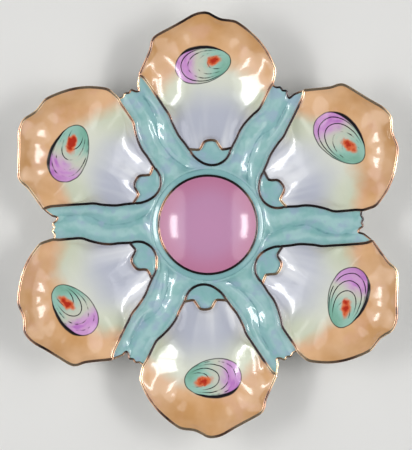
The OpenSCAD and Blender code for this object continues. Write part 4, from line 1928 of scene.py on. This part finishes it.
@dataclass
class SauceDish:
    """The round sauce dish: a spherical hollow, a rounded crest and a slope outside."""

    shop: Workshop
    steps: int = 256
    hollow_steps: int = 60
    under_steps: int = 10
    under_power: float = 0.8
    weld: float = 0.02
    gilt_lift: float = 0.04
    gilt_seed: float = 50.0
    bead: Bead = Bead(width_share=0.95, waver=0.35, patch=12.0)
    shoulder_drop: float = 0.05
    under_lean: float = -0.2
    crest: Sequence[Pair] = ((-0.7, 0.12), (-0.3, 0.2), (0.3, 0.2), (0.8, 0.05))
    slope_shares: Sequence[Pair] = (
        (0.07, 0.19), (0.14, 0.34), (0.2, 0.4), (0.35, 0.524), (0.5, 0.648), (0.65, 0.772), (0.78, 0.88),
        (0.89, 0.95), (1.0, 1.0),
    )

    def section(self) -> Array:
        """Draws half of the dish's section, out from its middle and back underneath.

        Returns:
            Distance from the axis and height of each point.
        """
        form = self.shop.form
        half, high = form.gilt_w / 2, form.sauce_rim_h
        inner, outer = form.sauce_r - half, form.sauce_r + half
        ball = (inner**2 + form.sauce_depth**2) / form.sauce_depth / 2
        angle = math.asin(inner / ball) * np.arange(self.hollow_steps + 1) / self.hollow_steps
        floor = high - form.sauce_depth
        cup = np.stack([ball * np.sin(angle), floor + ball * (1 - np.cos(angle))], axis=1)
        crest = [(form.sauce_r + half * out, high + lift) for out, lift in self.crest]
        drop = form.sauce_slope_drop - self.shoulder_drop
        slope = [(mix(outer, form.sauce_outer_r, out), high - self.shoulder_drop - drop * down)
                 for out, down in self.slope_shares]
        edge_h, bottom = form.skirt_h - form.ground_t, floor - form.wall
        back = np.arange(self.under_steps + 1) / self.under_steps
        fall = smooth(back) ** self.under_power
        under = zip(mix(form.sauce_outer_r, form.sauce_r / 2, back), mix(edge_h, bottom, fall))
        return np.array([*cup, *crest, *slope, *under, (0.0, bottom)])

    def build(self) -> list[Object]:
        """Builds the dish and its gilt ring.

        Returns:
            The two pieces.
        """
        form = self.shop.form
        out, height = self.section().T
        profile = np.stack([out - form.sauce_outer_r, -height, 0 * out], axis=1)
        dish = self.shop.lathe.run("sauce_dish", line_mesh(profile, closed=False), {
            "Steps": self.steps, "Hub": form.sauce_outer_r * MM, "Weld": self.weld * MM,
            "Material": SaucePainting(form).build()})
        self.dress(dish.data)
        turn = 2 * math.pi * np.arange(self.steps) / self.steps
        ring = raised(form.sauce_r * around(turn), form.sauce_rim_h + self.gilt_lift)
        return [stands_for(dish, "sauce_well", Slot.SAUCE),
                self.shop.gild("sauce_gilt_line", "sauce_gilt_rim", ring, True, self.gilt_seed, self.bead)]

    def dress(self, mesh: Mesh) -> None:
        """Gives the dish its own map, of turn and distance, and a white underside.

        Args:
            mesh: The turned dish.
        """
        x, y, _ = mesh_points(mesh).T
        turn = np.arctan2(y, x) / (2 * math.pi) + 0.5
        lay_map(mesh, np.stack([turn, np.hypot(x, y) / self.shop.form.sauce_outer_r], axis=1))
        mesh.materials.append(self.shop.white)
        for face in mesh.polygons:
            face.material_index = WHITE if face.normal.z < self.under_lean else COLOURED


@dataclass
class Foot:
    """The luted foot: a glazed wall that follows the underside, over a bare standing edge."""

    shop: Workshop
    steps: int = 360
    wall_shares: Sequence[float] = (0.3, 0.6, 0.85, 1.0)
    top_from: float = 0.5

    @property
    def turns(self) -> Array:
        """The direction of each step round."""
        return 2 * math.pi * np.arange(self.steps) / self.steps - math.pi

    def underside(self) -> Array:
        """Reads the foot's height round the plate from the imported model.

        Returns:
            For each step round, the height of the wall's outer and inner upper edge.
        """
        form = self.shop.form
        points = mesh_points(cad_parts["foot_wall"].data).astype(float)
        reach = np.hypot(points[:, 0], points[:, 1])
        turn = np.arctan2(points[:, 1], points[:, 0])
        edges = []
        for outer in (True, False):
            mask = (points[:, 2] > form.foot_edge_h + self.top_from) & ((reach > form.foot_r) == outer)
            order = np.argsort(turn[mask])
            edges.append(np.interp(self.turns, turn[mask][order], points[mask][order, 2], period=2 * math.pi))
        return np.stack(edges)

    def build(self) -> Object:
        """Builds the wall and dresses the standing edge.

        Returns:
            The wall.
        """
        form = self.shop.form
        outer_h, inner_h = self.underside()
        outer, inner = (around(self.turns) * (form.foot_r + side * form.foot_t / 2) for side in (1, -1))
        rows = [raised(outer, mix(form.foot_edge_h, outer_h, t)) for t in (0.0, *self.wall_shares)]
        rows += [raised(inner, mix(form.foot_edge_h, inner_h, t)) for t in (*reversed(self.wall_shares), 0.0)]
        points = np.stack(rows)
        draft = MeshDraft("foot_wall_ring")
        index = draft.grid(points, np.zeros((*points.shape[:2], 2)), round_way=True, flip=True)
        closing = np.concatenate([index[[-1, 0]], index[[-1, 0]][:, :1]], axis=1)
        draft.quads(closing, flip=True)
        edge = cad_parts["foot_ring"]
        edge.data.materials.clear()
        edge.data.materials.append(Bisque().build())
        LOG.info("foot_ring: dressed as bare porcelain")
        return stands_for(draft.mesh_object([self.shop.white]), "foot_wall", Slot.FOOT)


class LampShape(Enum):
    """Outlines of a soft box, by Blender's names."""

    OBLONG = "RECTANGLE"
    OVAL = "ELLIPSE"


@dataclass(frozen=True)
class SoftBox:
    """A soft box that looks at the plate: its place and size in metres and its power in watts."""

    name: str
    place: tuple[float, float, float]
    size: Pair
    power: float
    shape: LampShape = LampShape.OBLONG

    def hang(self) -> None:
        """Hangs the box in the scene."""
        data = bpy.data.lights.new(self.name, "AREA")
        data.shape = self.shape.value
        data.size, data.size_y = self.size
        data.energy = self.power
        lamp = put(self.name, data)
        lamp.location = self.place
        lamp.rotation_euler = (-Vector(self.place)).to_track_quat("-Z", "Y").to_euler()


@dataclass(frozen=True)
class Studio:
    """Pale floor, soft lights and a camera straight above the plate.

    On each side a narrow soft box hangs before a wide, dim one.
    """

    form: PlateForm
    picture_px: tuple[int, int] = (412, 450)
    centre_px: Pair = (207.9, 224.8)
    mm_per_px: float = 0.5516
    camera_h: float = 1.5
    sensor: float = 36.0
    floor_size: float = 6.0
    floor_colour: Colour = linear(232, 231, 228)
    world_colour: Colour = linear(226, 230, 236)
    world_strength: float = 0.17
    view_reach: float = 20.0
    floor_roughness: float = 0.9
    boxes: tuple[SoftBox, ...] = (
        SoftBox("left_box", (-0.92, 0.03, 0.82), (0.6, 0.18), 3.8),
        SoftBox("right_box", (0.88, 0.04, 0.88), (0.6, 0.2), 3.9),
        SoftBox("left_panel", (-1.18, 0.0, 0.98), (2.9, 1.05), 11.5, LampShape.OVAL),
        SoftBox("right_panel", (1.15, 0.0, 1.02), (2.9, 1.05), 11.5, LampShape.OVAL),
    )

    def build(self) -> None:
        """Sets up the camera, the floor, the lights and the colour view."""
        self.camera()
        self.floor()
        for box in self.boxes:
            box.hang()
        self.sky()
        bpy.context.scene.view_settings.view_transform = "Standard"

    def camera(self) -> None:
        """Puts the camera where the photograph was taken from."""
        scale = self.mm_per_px * MM
        width = self.picture_px[0] * scale
        data = bpy.data.cameras.new("camera")
        data.sensor_fit = "HORIZONTAL"
        data.sensor_width = self.sensor
        data.lens = self.sensor * self.camera_h / width
        data.clip_end = self.view_reach
        camera = put("camera", data)
        x = (self.picture_px[0] / 2 - self.centre_px[0]) * scale
        y = (self.centre_px[1] - self.picture_px[1] / 2) * scale
        camera.location = (x, y, self.form.head_rim_h * MM + self.camera_h)
        bpy.context.scene.camera = camera

    def floor(self) -> None:
        """Lays the floor that the foot stands on."""
        half = self.floor_size / 2
        mesh = bpy.data.meshes.new("floor")
        mesh.from_pydata([(-half, -half, 0), (half, -half, 0), (half, half, 0), (-half, half, 0)],
                         [], [(0, 1, 2, 3)])
        shader = Shader("pale_floor")
        mesh.materials.append(shader.surface(Base_Color=self.floor_colour, Roughness=self.floor_roughness))
        put("floor", mesh)

    def sky(self) -> None:
        """Gives the scene a soft sky."""
        world = bpy.data.worlds.new("soft_sky")
        bpy.context.scene.world = world
        world.use_nodes = True
        sky = world.node_tree.nodes["Background"]
        sky.inputs["Color"].default_value = (*self.world_colour, 1.0)
        sky.inputs["Strength"].default_value = self.world_strength


def main() -> None:
    """Builds the plate piece by piece, then the studio round it."""
    logging.basicConfig(level=logging.INFO, format="%(message)s")
    shop = Workshop.open()
    for number in range(1, WELL_COUNT + 1):
        Bowl(shop, number).build()
        Heel(shop, number).build()
        ground = Ground(shop, number)
        ground.build()
        ground.gilt_teeth()
        GiltLines(shop, number).build()
    SauceDish(shop).build()
    Foot(shop).build()
    Studio(shop.form).build()


if __name__ == "__main__":
    main()
